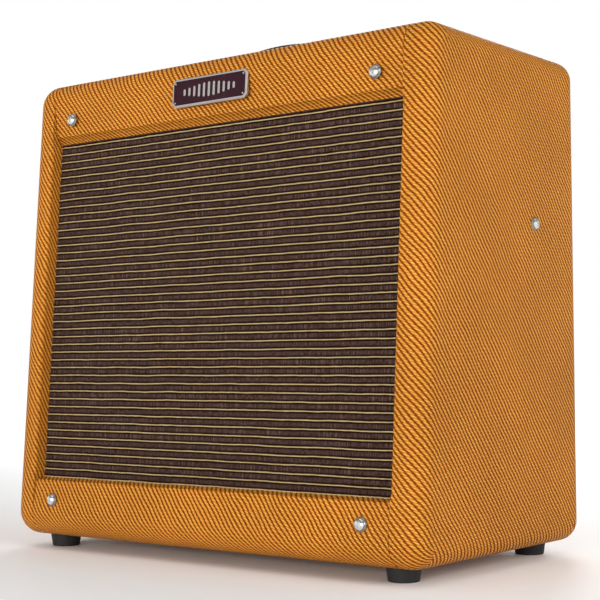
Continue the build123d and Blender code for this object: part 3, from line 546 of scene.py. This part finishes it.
# Finishes for the CAD nodes that show as they are
FINISHES = [
    (CHROME, ["oval_screws", "handle_caps", "handle_screws", "jewel_bezel", "chassis", "switch_lever"]),
    (metal_material("cast_plate", paint(190, 184, 182), 0.26, 0.2), ["nameplate_frame", "nameplate_bars"]),
    (enamel_material("maroon_enamel", paint(48, 24, 32), 0.45, 500.0, 0.04, 0.06), ["nameplate_field"]),
    (NICKEL, ["hex_nuts", "board_standoffs"]),
    # The screw cups are a darker nickel than the nuts: painted shade for the dark ring round each screw head
    (metal_material("cup_nickel_painted_shade", paint(150, 146, 138), 0.2, 0.2), ["screw_cups"]),
    (ZINC, ["pots", "foot_screws", "speaker_motor_plates"]),
    (STEEL, ["volume_shaft", "tone_shaft"]),
    (DARK_METAL, ["speaker_screws"]),
    (metal_material("electrode_plate", paint(84, 82, 78), 0.6, brushed=(160, 160, 30), metallic=0.4),
     ["valve_electrodes"]),
    (wood_material("baffle_ply", paint(208, 172, 124), paint(182, 142, 94), 0, 1.3), ["baffle_board"]),
    (PINE_TALL, ["cleats"]),
    (plastic_material("foot_rubber", paint(26, 26, 27), 0.62, 500.0, 0.08), ["rubber_feet"]),
    (BLACK_PLASTIC, ["jack_sockets", "fuse_holder", "fuse_cap", "power_switch"]),
    (plastic_material("inlet_plastic", paint(30, 30, 32), 0.4, 600.0), ["mains_inlet", "speaker_plug"]),
    (plastic_material("knob_plastic", paint(16, 14, 14), 0.18, 1400.0, 0.01), ["volume_knob", "tone_knob"]),
    (jewel_material(), ["jewel_lens"]),
    (glass_material("fuse_glass", (0.9, 0.94, 0.92, 1.0), 0.05), ["fuse"]),
    (speckled_material("socket_ceramic", paint(222, 216, 200), paint(186, 176, 154), 0.35),
     ["valve_sockets"]),
    (laminated_material(), ["power_transformer_core", "output_transformer"]),
    (enamel_material("bell_enamel", paint(24, 24, 26), 0.3), ["power_transformer_bells"]),
    (speckled_material("circuit_fibre", paint(92, 58, 34), paint(58, 34, 20)), ["circuit_board"]),
    (wound_material("component_sleeves", paint(196, 150, 52), paint(120, 78, 26), 2.4, (1.0, 0.0, 0.0)),
     ["board_components"]),
    (enamel_material("basket_enamel", paint(46, 50, 54), 0.36, 320.0, 0.16), ["speaker_basket"]),
    (pulp_material("gasket_board", paint(128, 96, 64), paint(70, 50, 34)), ["speaker_gasket"]),
    (speckled_material("magnet_ferrite", paint(54, 54, 56), paint(84, 84, 86), 0.6), ["speaker_magnet"]),
    (pulp_material("cone_paper", paint(66, 62, 58), paint(30, 28, 26), 7.0, CONE_CENTRE), ["speaker_cone"]),
    (pulp_material("surround_paper", paint(44, 42, 40), paint(20, 19, 18)), ["speaker_surround"]),
    (pulp_material("dust_felt", paint(38, 36, 36), paint(18, 17, 17)), ["dust_cap"]),
    (spider_material(), ["speaker_spider"]),
    (wound_material("coil_copper", paint(206, 120, 62), paint(112, 56, 26), 0.5, (0.0, 1.0, 0.0), 0.9, 0.3),
     ["voice_coil"]),
    (speckled_material("terminal_fibre", paint(116, 74, 42), paint(70, 42, 24)), ["speaker_terminals"]),
]


# Camera, light and floor


CAMERA_PLACE = (718.053, -898.637, BASE_Z + 138.384)
CAMERA_TURN = (92.56522, 0.34081, 38.18173)  # degrees: tilt from straight down, roll, heading
CAMERA_LENS = 85.4744  # for a sensor 36 mm wide


def make_camera():
    """The photograph's viewpoint."""
    lens = bpy.data.cameras.new("camera")
    lens.sensor_width = 36.0
    lens.lens = CAMERA_LENS
    lens.clip_start = 0.05
    lens.clip_end = 60.0
    camera = add_object("camera", lens)
    camera.location = Vector(CAMERA_PLACE) * MM
    camera.rotation_euler = [math.radians(angle) for angle in CAMERA_TURN]
    bpy.context.scene.camera = camera


def area_light(name, place, target, size, power, colour=(1, 1, 1)):
    """A rectangular lamp turned to its target."""
    light = bpy.data.lights.new(name, "AREA")
    light.shape = "RECTANGLE"
    light.size, light.size_y = size
    light.energy = power
    light.color = colour
    lamp = add_object(name, light)
    lamp.location = place
    lamp.rotation_mode = "QUATERNION"
    lamp.rotation_quaternion = (Vector(target) - Vector(place)).to_track_quat("-Z", "Y")


def make_sky():
    """White near the horizon and overhead, with a grey ring between them for bright metal to reflect."""
    grey = 0.32
    world = bpy.data.worlds.new("sky")
    world.use_nodes = True
    tree = world.node_tree
    place = tree.nodes.new("ShaderNodeTexCoord")
    parts = tree.nodes.new("ShaderNodeSeparateXYZ")
    ramp = tree.nodes.new("ShaderNodeValToRGB")
    tree.links.new(place.outputs["Generated"], parts.inputs[0])
    tree.links.new(parts.outputs["Z"], ramp.inputs["Fac"])
    tree.links.new(ramp.outputs["Color"], tree.nodes["Background"].inputs["Color"])
    stops = ramp.color_ramp.elements
    stops[0].position, stops[1].position = 0.29, 0.42
    for height in (0.78, 0.92):
        stops.new(height)
    for stop, shade in zip(stops, (1.0, grey, grey, 1.0)):
        stop.color = (shade, shade, shade, 1.0)
    return world


FLOOR_HALF = 12.0
FADE_START = 0.4
FADE_END = 1.8


def make_stage():
    """A plain pale floor that fades into the white of the sky away from the object."""
    m = Shader("pale_floor", Roughness=0.6, Specular_IOR_Level=0.2, Emission_Color=(1.0, 1.0, 1.0, 1.0))
    tone = m.ramp(m.noise(m.place(), 1.5, 2.0), 0.3, 0.7, 0.0, 1.0)
    away = m.node("VectorMath", {0: m.place()}, operation="LENGTH").outputs["Value"]
    far = m.ramp(away, FADE_START, FADE_END)
    near = m.mix(tone, paint(250, 250, 249), paint(252, 252, 252))
    material = m.finish(m.mix(far, near, (0.0, 0.0, 0.0, 1.0)), **{"Emission Strength": far})
    mesh = bpy.data.meshes.new("floor")
    half = FLOOR_HALF
    corners = [(-half, -half, 0), (half, -half, 0), (half, half, 0), (-half, half, 0)]
    mesh.from_pydata(corners, [], [(0, 1, 2, 3)])
    mesh.materials.append(material)
    floor = add_object("floor", mesh)

    bpy.context.scene.world = make_sky()
    bpy.context.scene.view_settings.view_transform = "Standard"
    area_light("key", (0.3, -2.3, 0.35), (0, 0, 0.1), (1.4, 0.6), 34.0, (1.0, 0.98, 0.95))
    area_light("side", (2.4, -0.2, 1.0), (0.2, 0, 0.2), (1.4, 1.4), 28.0)
    area_light("rear", (-1.4, 2.4, 1.2), (0, 0.1, 0.2), (1.4, 1.4), 30.0)


# Cabinet


RIM_SPANS = 16
RIM_CORNER_STEPS = 8
EDGE_STEPS = 10
LIP_STEPS = 6
LIP_BLEND = 3.0  # over this height the opening's large rounding grows from the seam's small one
OUTWARD = (math.pi - LEAN, TAU / 4, 0.0, -TAU / 4)  # from the side outline's front, top, back and bottom


def core_corners(inset):
    """Corners of the side outline, cut back by inset: front bottom, front top, back top, back bottom."""
    low, high = BASE_Z + inset, TOP_Z - inset
    front = []
    for z in (low, high):
        along = (z - BASE_Z + inset * math.sin(LEAN)) / math.cos(LEAN)
        front.append(Vector((FRONT_Y + along * math.sin(LEAN) + inset * math.cos(LEAN), z)))
    back = BACK_Y - inset
    return [front[0], front[1], Vector((back, high)), Vector((back, low))]


def direction(angle):
    return Vector((math.cos(angle), math.sin(angle)))


def round_centres():
    """Where the side outline's four corner arcs have their centres, in the same order."""
    return core_corners(FRONT_EDGE_R)[:2] + core_corners(EDGE_R)[2:]


def side_rim():
    """Places round the side outline: core point, outward angle, height if in front, and fold.

    The fold is the side, from 0 to 3, that the covering from there to the next place is laid out flat with.
    Round the corners it is the front or the back.
    """
    centres = round_centres()
    extra = [FRONT_EDGE_R - EDGE_R, FRONT_EDGE_R - EDGE_R, 0.0, 0.0]
    raised = EDGE_R * math.sin(LEAN)
    rim = []
    for i in range(4):
        after = (i + 1) % 4
        start = centres[i] + direction(OUTWARD[i]) * extra[i]
        end = centres[after] + direction(OUTWARD[i]) * extra[after]
        shares = [k / RIM_SPANS for k in range(RIM_SPANS + 1)]
        if i == 0:
            for height in (GRILLE_LOW, GRILLE_HIGH):
                for step in range(-3, 4):
                    level = height + LIP_BLEND / 2 * step - raised + BASE_Z
                    shares.append((level - start.y) / (end.y - start.y))
            shares.sort()
        for share in shares:
            core = start.lerp(end, share)
            rim.append((core, OUTWARD[i], core.y - BASE_Z + raised if i == 0 else None, i))
        fold = 0 if i in (0, 3) else 2
        rim[-1] = (*rim[-1][:3], fold)
        first, last = OUTWARD[i], OUTWARD[after]
        if last > first:
            last -= TAU
        for k in range(1, RIM_CORNER_STEPS):
            angle = first + (last - first) * k / RIM_CORNER_STEPS
            rim.append((centres[after] + direction(angle) * extra[after], angle, None, fold))
    return rim


def lip_radius(height):
    """The inner front edge's rounding: large along the grille opening, small where a rail meets it."""
    if height is None:
        return SEAM_R
    above = (height - GRILLE_LOW) / LIP_BLEND
    below = (GRILLE_HIGH - height) / LIP_BLEND
    share = max(0.0, min(1.0, above, below))
    return SEAM_R + (LIP_R - SEAM_R) * share * share * (3 - 2 * share)


def side_board(node, sign):
    """A side with its tweed rolled over every outer edge and folded in over the inner ones."""
    rim = side_rim()
    count = len(rim)
    core_x = OUTSIDE_X - EDGE_R
    points = []
    travels = []  # for each point, how far its cloth is from the side's flat face and how wide its ring is

    def ring(x_depth_travel):
        for core, angle, height, _ in rim:
            x, depth, travel = x_depth_travel(height)
            place = core + direction(angle) * (EDGE_R - depth)
            points.append((sign * x, place.x, place.y))
            travels.append((travel, EDGE_R - depth))

    def flat_place(point, column, fold):
        """A point's place on the cloth as it was before it was folded round one side."""
        core, angle = rim[column][:2]
        travel, radius = travels[point]
        out = OUTWARD[fold]
        turned = (out - angle + math.pi) % TAU - math.pi
        along = direction(out - TAU / 4)
        flat = core + direction(out) * travel + along * (max(0.0, radius) * turned)
        return sign * flat.x, flat.y

    for i in range(EDGE_STEPS + 1):
        angle = TAU / 4 * i / EDGE_STEPS
        x = core_x + EDGE_R * math.cos(angle)
        depth = EDGE_R * (1 - math.sin(angle))
        ring(lambda height, x=x, depth=depth, travel=EDGE_R * angle: (x, depth, travel))
    rolled = EDGE_R * TAU / 4 + core_x - INSIDE_X
    for i in range(LIP_STEPS + 1):
        angle = TAU / 4 * i / LIP_STEPS

        def at_lip(height, angle=angle):
            radius = lip_radius(height)
            travel = rolled - radius + radius * angle
            return INSIDE_X + radius * (1 - math.sin(angle)), radius * (1 - math.cos(angle)), travel

        ring(at_lip)
    for depth in (0.75 * TURN_IN, TURN_IN - 0.1):
        ring(lambda height, depth=depth: (INSIDE_X, depth, rolled + depth))
    rings = len(points) // count
    faces = []
    uvs = []
    for i in range(rings - 1):
        for j in range(count):
            right = (j + 1) % count
            fold = rim[j][3]
            face = [(i * count + j, j), (i * count + right, right)]
            if i > 0 or (rim[j][0] - rim[right][0]).length > 1e-6:
                face += [((i + 1) * count + right, right), ((i + 1) * count + j, j)]
            else:
                face = [face[0], (count + right, right), (count + j, j)]
            faces.append(tuple(point for point, column in face))
            uvs.append([flat_place(point, column, fold) for point, column in face])
    slots = [0] * len(faces)
    for first, slot in ((0, 0), ((rings - 1) * count, 1)):
        unique = [j for j in range(count) if first or (rim[j][0] - rim[j - 1][0]).length > 1e-6]
        faces.append(tuple(first + j for j in unique))
        uvs.append([(sign * points[first + j][1], points[first + j][2]) for j in unique])
        slots.append(slot)
    new_piece(node + "_covering", points, faces, "cabinet", [TWEED, PINE_TALL], uvs, slots,
              replaces=[node], slot="tweed_board")


def rail_lip(height, radius, steps, sign):
    """From a rail's back edge round its lip to its front; sign is 1 above the opening and -1 below it."""
    start = front_point(height, RAIL_T).yz
    beyond = front_point(height + sign * 20, 0).yz
    return [start] + rounded_corner(start, front_point(height, 0).yz, beyond, radius, steps)


def baffle_step(height, edge):
    """Behind a rail: up or down the baffle's back, over its edge and forward to the rail."""
    places = ((height, BAFFLE_BACK), (edge, BAFFLE_BACK), (edge, RAIL_T))
    return [front_point(*place).yz for place in places]


def front_and_top():
    """Upper front rail and top board under one piece of tweed."""
    outline = rail_lip(GRILLE_HIGH, UPPER_LIP_R, 10, 1)
    outline += arc(round_centres()[1], FRONT_EDGE_R, math.pi - LEAN, TAU / 4, 12)
    outline += rounded_corner((0, TOP_Z), (TOP_BOARD_BACK, TOP_Z), (TOP_BOARD_BACK, TOP_Z - 9), 1.5, 4)
    low = TOP_Z - PLANK_T
    outline.append((TOP_BOARD_BACK, low))
    covered = len(outline) - 1
    outline += baffle_step(low - BASE_Z + BAFFLE_BACK * math.sin(LEAN), BAFFLE_TOP)
    covered_board("top_covering", outline, covered, (1, 1), ["top_board", "upper_front_rail"])


def front_and_bottom():
    """Lower front rail and bottom board under one piece of tweed."""
    corners = round_centres()
    outline = rail_lip(GRILLE_LOW, LIP_R, 6, -1)
    outline += arc(corners[0], FRONT_EDGE_R, math.pi - LEAN, 3 * TAU / 4, 12)
    outline += arc(corners[3], EDGE_R, -TAU / 4, 0.0, 12)
    high = BASE_Z + PLANK_T
    outline += rounded_corner((BACK_Y, high - 2), (BACK_Y, high), (BACK_Y - 5, high), 1.0, 3)
    covered = len(outline) - 1
    outline += baffle_step(PLANK_T + BAFFLE_BACK * math.sin(LEAN), BAFFLE_FOOT)
    covered_board("bottom_covering", outline, covered, (1, -1), ["bottom_board", "lower_front_rail"])


def back_panels():
    """The two panels that close the back, above and below its opening."""
    inner = BACK_Y - BACK_PANEL_T
    for node in ("upper_back_panel", "lower_back_panel"):
        low, high = (point.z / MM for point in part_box(node))
        outline = rounded_corner((BACK_Y - 4, low), (BACK_Y, low), (BACK_Y, low + 4), 1.5, 4)
        if node == "upper_back_panel":
            core = round_centres()[2]
            reach = math.acos((inner - core.x) / EDGE_R)
            outline += arc(core, EDGE_R, 0.0, reach, 10)
        else:
            outline += rounded_corner((BACK_Y, high - 4), (BACK_Y, high), (BACK_Y - 4, high), 1.5, 4)
            outline.append((inner, high))
        covered = len(outline) - 1
        outline.append((inner, low))
        covered_board(node + "_covering", outline, covered, (-1, 1), [node])


# Grille

CLOTH_LOW = BAFFLE_FOOT
CLOTH_HIGH = BAFFLE_TOP - 0.4
CLOTH_ROWS = 60
CLOTH_COLUMNS = 56
CLOTH_DEPTH = RAIL_T + 0.12
THREAD_HALF_W = 0.44
THREAD_RISE = 0.45
THREAD_SPANS = 176
THREAD_END_X = PANEL_X - 0.4
THREAD_SECTION = ((-1, 0.0), (-0.6, 0.8), (0, 1.0), (0.6, 0.8), (1, 0.0))  # shares of its half width and rise


def grille_cloth():
    points = []
    uvs = []
    for i in range(CLOTH_ROWS + 1):
        height = CLOTH_LOW + (CLOTH_HIGH - CLOTH_LOW) * i / CLOTH_ROWS
        for j in range(CLOTH_COLUMNS + 1):
            x = -PANEL_X + 2 * PANEL_X * j / CLOTH_COLUMNS
            points.append(front_point(height, CLOTH_DEPTH, x))
            uvs.append((x, height))
    faces = grid_faces(CLOTH_ROWS + 1, CLOTH_COLUMNS + 1)
    return new_piece("grille_weave", points, faces, "cabinet", [grille_material()], corner_uvs(faces, uvs),
                     replaces=["grille_cloth"], slot="grille_cloth")


def gold_threads():
    """The cloth's gold threads as raised ribs, each a little uneven in line and thickness."""
    points = []
    uvs = []
    faces = []
    count = int((GRILLE_HIGH - FIRST_THREAD) / THREAD_PITCH)
    for line in range(count + 1):
        base = FIRST_THREAD + THREAD_PITCH * line
        first = len(points)
        for i in range(THREAD_SPANS + 1):
            x = THREAD_END_X * (2 * i / THREAD_SPANS - 1)
            middle = base + noise.noise((x / 26.0, base / 41.0, 0.3)) * 0.4
            middle += noise.noise((x / 5.0, base, 4.7)) * 0.2
            thick = 1 + 0.35 * noise.noise((x / 3.1, base * 1.7, 9.1))
            for across, out in THREAD_SECTION:
                height = middle + across * THREAD_HALF_W * thick
                points.append(front_point(height, CLOTH_DEPTH - 0.02 - out * THREAD_RISE * thick, x))
                uvs.append((x, base + across * THREAD_HALF_W))
        faces += numbered_on(grid_faces(THREAD_SPANS + 1, len(THREAD_SECTION)), first)
    return new_piece("grille_gold_threads", points, faces, "cabinet", [gold_thread_material()],
                     corner_uvs(faces, uvs), slot="grille_cloth")


def grille():
    """The stretched cloth on the baffle with its gold threads."""
    cloth = grille_cloth()
    threads = gold_threads()


def dress_nodes():
    for material, nodes in FINISHES:
        for name in nodes:
            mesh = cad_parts[name].data
            mesh.materials.clear()
            mesh.materials.append(material)


# Handle

STRAP_Y = 4.5
STRAP_W = 28.0
STRAP_T = 5.0
STRAP_FLAT_X = 85.0
STRAP_END_X = 123.0
STRAP_RISE = 15.3
BOW_R = 200.0
STRAP_SPANS = 40
CAP_X = 110.0
SLOT_HALF_X = 8.5
SLOT_HALF_Y = 3.5
GROOVE_SHARE = 0.87  # where the stitching lies: shares of the half width and of the half thickness
GROOVE_RISE = 0.9
STITCH_PITCH = 4.0
STITCH_L = 2.7
STITCH_R = 0.38
STITCH_RISE = 0.42
STITCH_SUNK = 0.25
STITCH_SPANS = 6
STITCH_SIDES = 6


def strap_line():
    """The strap's middle line from its crown to one end: (x, z, turn down from level) for each station."""
    turn = 2 * math.atan(STRAP_RISE / STRAP_FLAT_X)
    flat_z = TOP_Z + 0.3 + STRAP_T / 2
    bow_z = flat_z + STRAP_RISE - BOW_R
    end_r = STRAP_FLAT_X / math.sin(turn) - BOW_R
    line = []
    for i in range(STRAP_SPANS):
        angle = turn * i / STRAP_SPANS
        line.append((BOW_R * math.sin(angle), bow_z + BOW_R * math.cos(angle), angle))
    for i in range(STRAP_SPANS // 2):
        angle = turn * (1 - 2 * i / STRAP_SPANS)
        line.append((STRAP_FLAT_X - end_r * math.sin(angle), flat_z + end_r * (1 - math.cos(angle)), angle))
    slot_low, slot_high = CAP_X - SLOT_HALF_X, CAP_X + SLOT_HALF_X
    for x in (STRAP_FLAT_X, 93.5, slot_low, CAP_X, slot_high, 121.0, STRAP_END_X):
        line.append((x, flat_z, 0.0))
    return line


def strap_section():
    """Across the strap: (y, share of half the thickness)."""
    half = STRAP_W / 2
    edge = [(1.0, 0.5), (0.985, 0.8), (0.955, 0.98)]
    groove = [(GROOVE_SHARE + 0.03, 1.0), (GROOVE_SHARE, GROOVE_RISE), (GROOVE_SHARE - 0.03, 1.0)]
    steps = edge + groove + [(0.6, 1.06), (0.25, 1.1)]
    return [(-half * y, t) for y, t in steps] + [(0.0, 1.1)] + [(half * y, t) for y, t in reversed(steps)]


def handle_strap():
    """Stitched leather, crowned across its width, with a slot in each end for the lift."""
    side = strap_line()
    stations = [(-x, z, -turn) for x, z, turn in reversed(side[1:])] + side
    section = strap_section()
    columns = len(section)
    points = []
    for face in (1, -1):
        for x, z, turn in stations:
            for y, share in section:
                out = face * share * STRAP_T / 2
                points.append((x + out * math.sin(turn), STRAP_Y + y, z + out * math.cos(turn)))
    upper = len(stations) * columns
    solid = set()
    for i in range(len(stations) - 1):
        for j in range(columns - 1):
            middle = abs(stations[i][0] + stations[i + 1][0]) / 2
            across = abs(section[j][0] + section[j + 1][0]) / 2
            if abs(middle - CAP_X) > SLOT_HALF_X or across > SLOT_HALF_Y:
                solid.add((i, j))
    faces = []
    for i, j in sorted(solid):
        corners = [i * columns + j, i * columns + j + 1, (i + 1) * columns + j + 1, (i + 1) * columns + j]
        faces.append(tuple(corners))
        faces.append(tuple(upper + corner for corner in reversed(corners)))
        walls = [((i - 1, j), 0, 1), ((i, j + 1), 1, 2), ((i + 1, j), 2, 3), ((i, j - 1), 3, 0)]
        for neighbour, a, b in walls:
            if neighbour not in solid:
                faces.append((corners[a], corners[b], upper + corners[b], upper + corners[a]))
    new_piece("stitched_strap", points, faces, "handle", [LEATHER], replaces=["handle_strap"],
              slot="strap_leather")
    strap_stitches(side)


def stitch_place(side, at):
    """The strap's middle line at a distance from its crown: x, z and the turn down from level."""
    travelled = 0.0
    for here, after in zip(side, side[1:]):
        length = math.hypot(after[0] - here[0], after[1] - here[1])
        if travelled <= at < travelled + length:
            share = (at - travelled) / length
            return tuple(a + (b - a) * share for a, b in zip(here, after))
        travelled += length
    return side[-1]


def strap_stitches(side):
    """Two rows of waxed stitches in the strap's edge grooves, along its bow."""
    points = []
    faces = []
    groove_y = GROOVE_SHARE * STRAP_W / 2
    groove_out = GROOVE_RISE * STRAP_T / 2 - STITCH_SUNK
    for k in range(int((STRAP_FLAT_X - 2) / STITCH_PITCH)):
        middle_x, middle_z, turn = stitch_place(side, STITCH_PITCH * (k + 0.5))
        for sign_x, sign_y in ((-1, -1), (-1, 1), (1, -1), (1, 1)):
            first = len(points)
            for i in range(STITCH_SPANS + 1):
                share = i / STITCH_SPANS
                along = (share - 0.5) * STITCH_L
                lift = groove_out + (STITCH_RISE + STITCH_SUNK) * math.sin(math.pi * share) ** 0.5
                for side_number in range(STITCH_SIDES):
                    angle = TAU * side_number / STITCH_SIDES
                    y = sign_y * groove_y + STITCH_R * math.cos(angle)
                    out = lift + STITCH_R * 0.6 * math.sin(angle)
                    x = middle_x + along * math.cos(turn) + out * math.sin(turn)
                    z = middle_z - along * math.sin(turn) + out * math.cos(turn)
                    points.append((sign_x * x, STRAP_Y + y, z))
            faces += numbered_on(grid_faces(STITCH_SPANS + 1, STITCH_SIDES, close_columns=True), first)
    new_piece("strap_stitching", points, faces, "handle", [WAXED_THREAD], slot="strap_leather")


# Controls

SCALE_TICKS = 12
SCALE_TRAVEL = math.radians(300)
TICK_INNER = 19.2
TICK_OUTER = 21.2
END_TICK_OUTER = 22.4
TICK_W = 0.9
POINTER_INNER = 4.0
POINTER_OUTER = 16.4
POINTER_W = 1.0


def flat_bar(points, faces, centre, angle, inner, outer, width, low, high):
    """Adds a small block that runs outwards from a centre at an angle."""
    out = direction(angle)
    side = Vector((-out.y, out.x))
    first = len(points)
    for z in (low, high):
        for reach, across in ((inner, -1), (outer, -1), (outer, 1), (inner, 1)):
            place = Vector(centre) + out * reach + side * (across * width / 2)
            points.append((place.x, place.y, z))
    block = ((0, 3, 2, 1), (4, 5, 6, 7), (0, 1, 5, 4), (1, 2, 6, 5), (2, 3, 7, 6), (3, 0, 4, 7))
    faces += numbered_on(block, first)


def control_marks():
    """Printed scale ticks round both knobs, and a line on each pointer."""
    marks = ([], [])
    for node, body in (("volume_knob", "volume_control"), ("tone_knob", "tone_control")):
        low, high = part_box(node)
        centre = ((low.x + high.x) / 2 / MM, CONTROL_Y)
        for i in range(SCALE_TICKS):
            angle = -TAU / 4 + SCALE_TRAVEL * (i / (SCALE_TICKS - 1) - 0.5)
            outer = END_TICK_OUTER if i in (0, SCALE_TICKS - 1) else TICK_OUTER
            flat_bar(*marks, centre, angle, TICK_INNER, outer, TICK_W, PANEL_Z - 0.1, PANEL_Z + 0.06)
        line = ([], [])
        top = high.z / MM
        flat_bar(*line, centre, -TAU / 4, POINTER_INNER, POINTER_OUTER, POINTER_W, top - 0.3, top + 0.12)
        new_piece(body + "_pointer_line", *line, body, [CREAM], slot="knob_plastic")
    new_piece("control_scale_marks", *marks, "cabinet", [INK], slot="chassis_chrome")


# Valves

VALVE_GROUPS = (((-150.0, -116.0), 48.0), ((-80.0, -44.0), 66.0))  # places along x, and the glass's length
TURN_STEPS = 32
VALVE_R = 10.4
VALVE_FOOT_Z = -4.2  # below the chassis, inside the socket
FOOT_ROUND = 1.4
DOME_H = 7.0
DOME_STEPS = 9
TIP_R = 1.6
TIP_H = 2.0
GLASS_T = 0.9
FLASH_T = 0.15
PIN_R = 0.02  # as good as closed
WALL_STATIONS = 5  # places in the profile before the dome starts


def lathe(points, faces, profile, places, closed=False):
    """Adds turned shapes on upright axes; their profile is (radius, height) pairs, capped or closed."""
    for x, y, z in places:
        first = len(points)
        for radius, height in profile:
            for k in range(TURN_STEPS):
                angle = TAU * k / TURN_STEPS
                points.append((x + radius * math.cos(angle), y + radius * math.sin(angle), z + height))
        faces += numbered_on(grid_faces(len(profile), TURN_STEPS, closed, close_columns=True), first)
        if not closed:
            last = (len(profile) - 1) * TURN_STEPS
            faces += numbered_on((range(TURN_STEPS), range(last + TURN_STEPS - 1, last - 1, -1)), first)


def envelope_profile(length, shrink=0.0):
    """A valve's outline, hanging down: flat foot, straight walls, round dome and, outside, a drawn tip."""
    foot = VALVE_FOOT_Z - shrink
    wall_top = foot - FOOT_ROUND
    dome = DOME_H - shrink
    wall = VALVE_R - shrink
    end = VALVE_FOOT_Z - length
    shoulder = end + DOME_H + TIP_H
    crown = shoulder - dome
    profile = [(wall - 1.2, foot), (wall - 0.4, foot - 0.4), (wall, wall_top)]
    profile += [(wall, wall_top + (shoulder - wall_top) * share) for share in (0.33, 0.66)]
    for i in range(DOME_STEPS):
        angle = TAU / 4 * i / DOME_STEPS
        profile.append((TIP_R + (wall - TIP_R) * math.cos(angle), shoulder - dome * math.sin(angle)))
    if shrink:
        return profile + [(0.4, crown - 0.02), (PIN_R, crown - 0.02)]
    return profile + [(1.5, crown - 0.5), (1.1, end + 0.7), (0.5, end + 0.1), (PIN_R, end + 0.1)]


def valves():
    """Hollow glass envelopes and the getter flash in their domes, on the CAD's sockets and electrodes."""
    glass = ([], [])
    flashes = ([], [])
    for xs, length in VALVE_GROUPS:
        places = [(x, VALVE_Y, CHASSIS_LOW_Z) for x in xs]
        inner = envelope_profile(length, GLASS_T)
        wall = envelope_profile(length) + inner[::-1]
        skin = [(r - 0.12, z + 0.1) for r, z in inner[WALL_STATIONS:-1]]
        flash = skin + [(max(0.3, r - FLASH_T), z + FLASH_T) for r, z in reversed(skin)]
        lathe(*glass, wall, places, closed=True)
        lathe(*flashes, flash, places)
    new_piece("valve_envelopes", *glass, "cabinet", [GLASS], replaces=["valve_glass"], slot="valve_glass")
    silver = metal_material("getter_flash", paint(112, 108, 104), 0.24, 0.2)
    new_piece("getter_flashes", *flashes, "cabinet", [silver], slot="electrode_grey")


# Speaker lead


def speaker_lead():
    """The lead that hangs from the chassis socket and goes over to the speaker's terminals."""
    route = [
        (-14, 72, 204), (-14, 72, 182), (-4, 62, 162), (20, 44, 156),
        (62, 24, 174), (80, 6, 204), (78.2, -4.2, 233.7), (76.2, -26.2, 233.7),
    ]
    curve = bpy.data.curves.new("speaker_cable", "CURVE")
    curve.dimensions = "3D"
    curve.bevel_depth = 2.6 * MM
    curve.bevel_resolution = 4
    curve.resolution_u = 12
    curve.use_fill_caps = True
    line = curve.splines.new("NURBS")
    line.points.add(len(route) - 1)
    for point, place in zip(line.points, route):
        point.co = (*(Vector(place) * MM), 1.0)
    line.order_u = 3
    line.use_endpoint_u = True
    curve.materials.append(plastic_material("lead_pvc", paint(24, 24, 25), 0.4, 900.0, 0.02))
    cable = add_object("speaker_cable", curve)
    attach(cable, "cabinet")
    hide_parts("speaker_lead")


# Everything, in order

make_camera()
make_stage()
side_board("side_board_left", -1)
side_board("side_board_right", 1)
front_and_top()
front_and_bottom()
back_panels()
grille()
handle_strap()
control_marks()
valves()
speaker_lead()
dress_nodes()
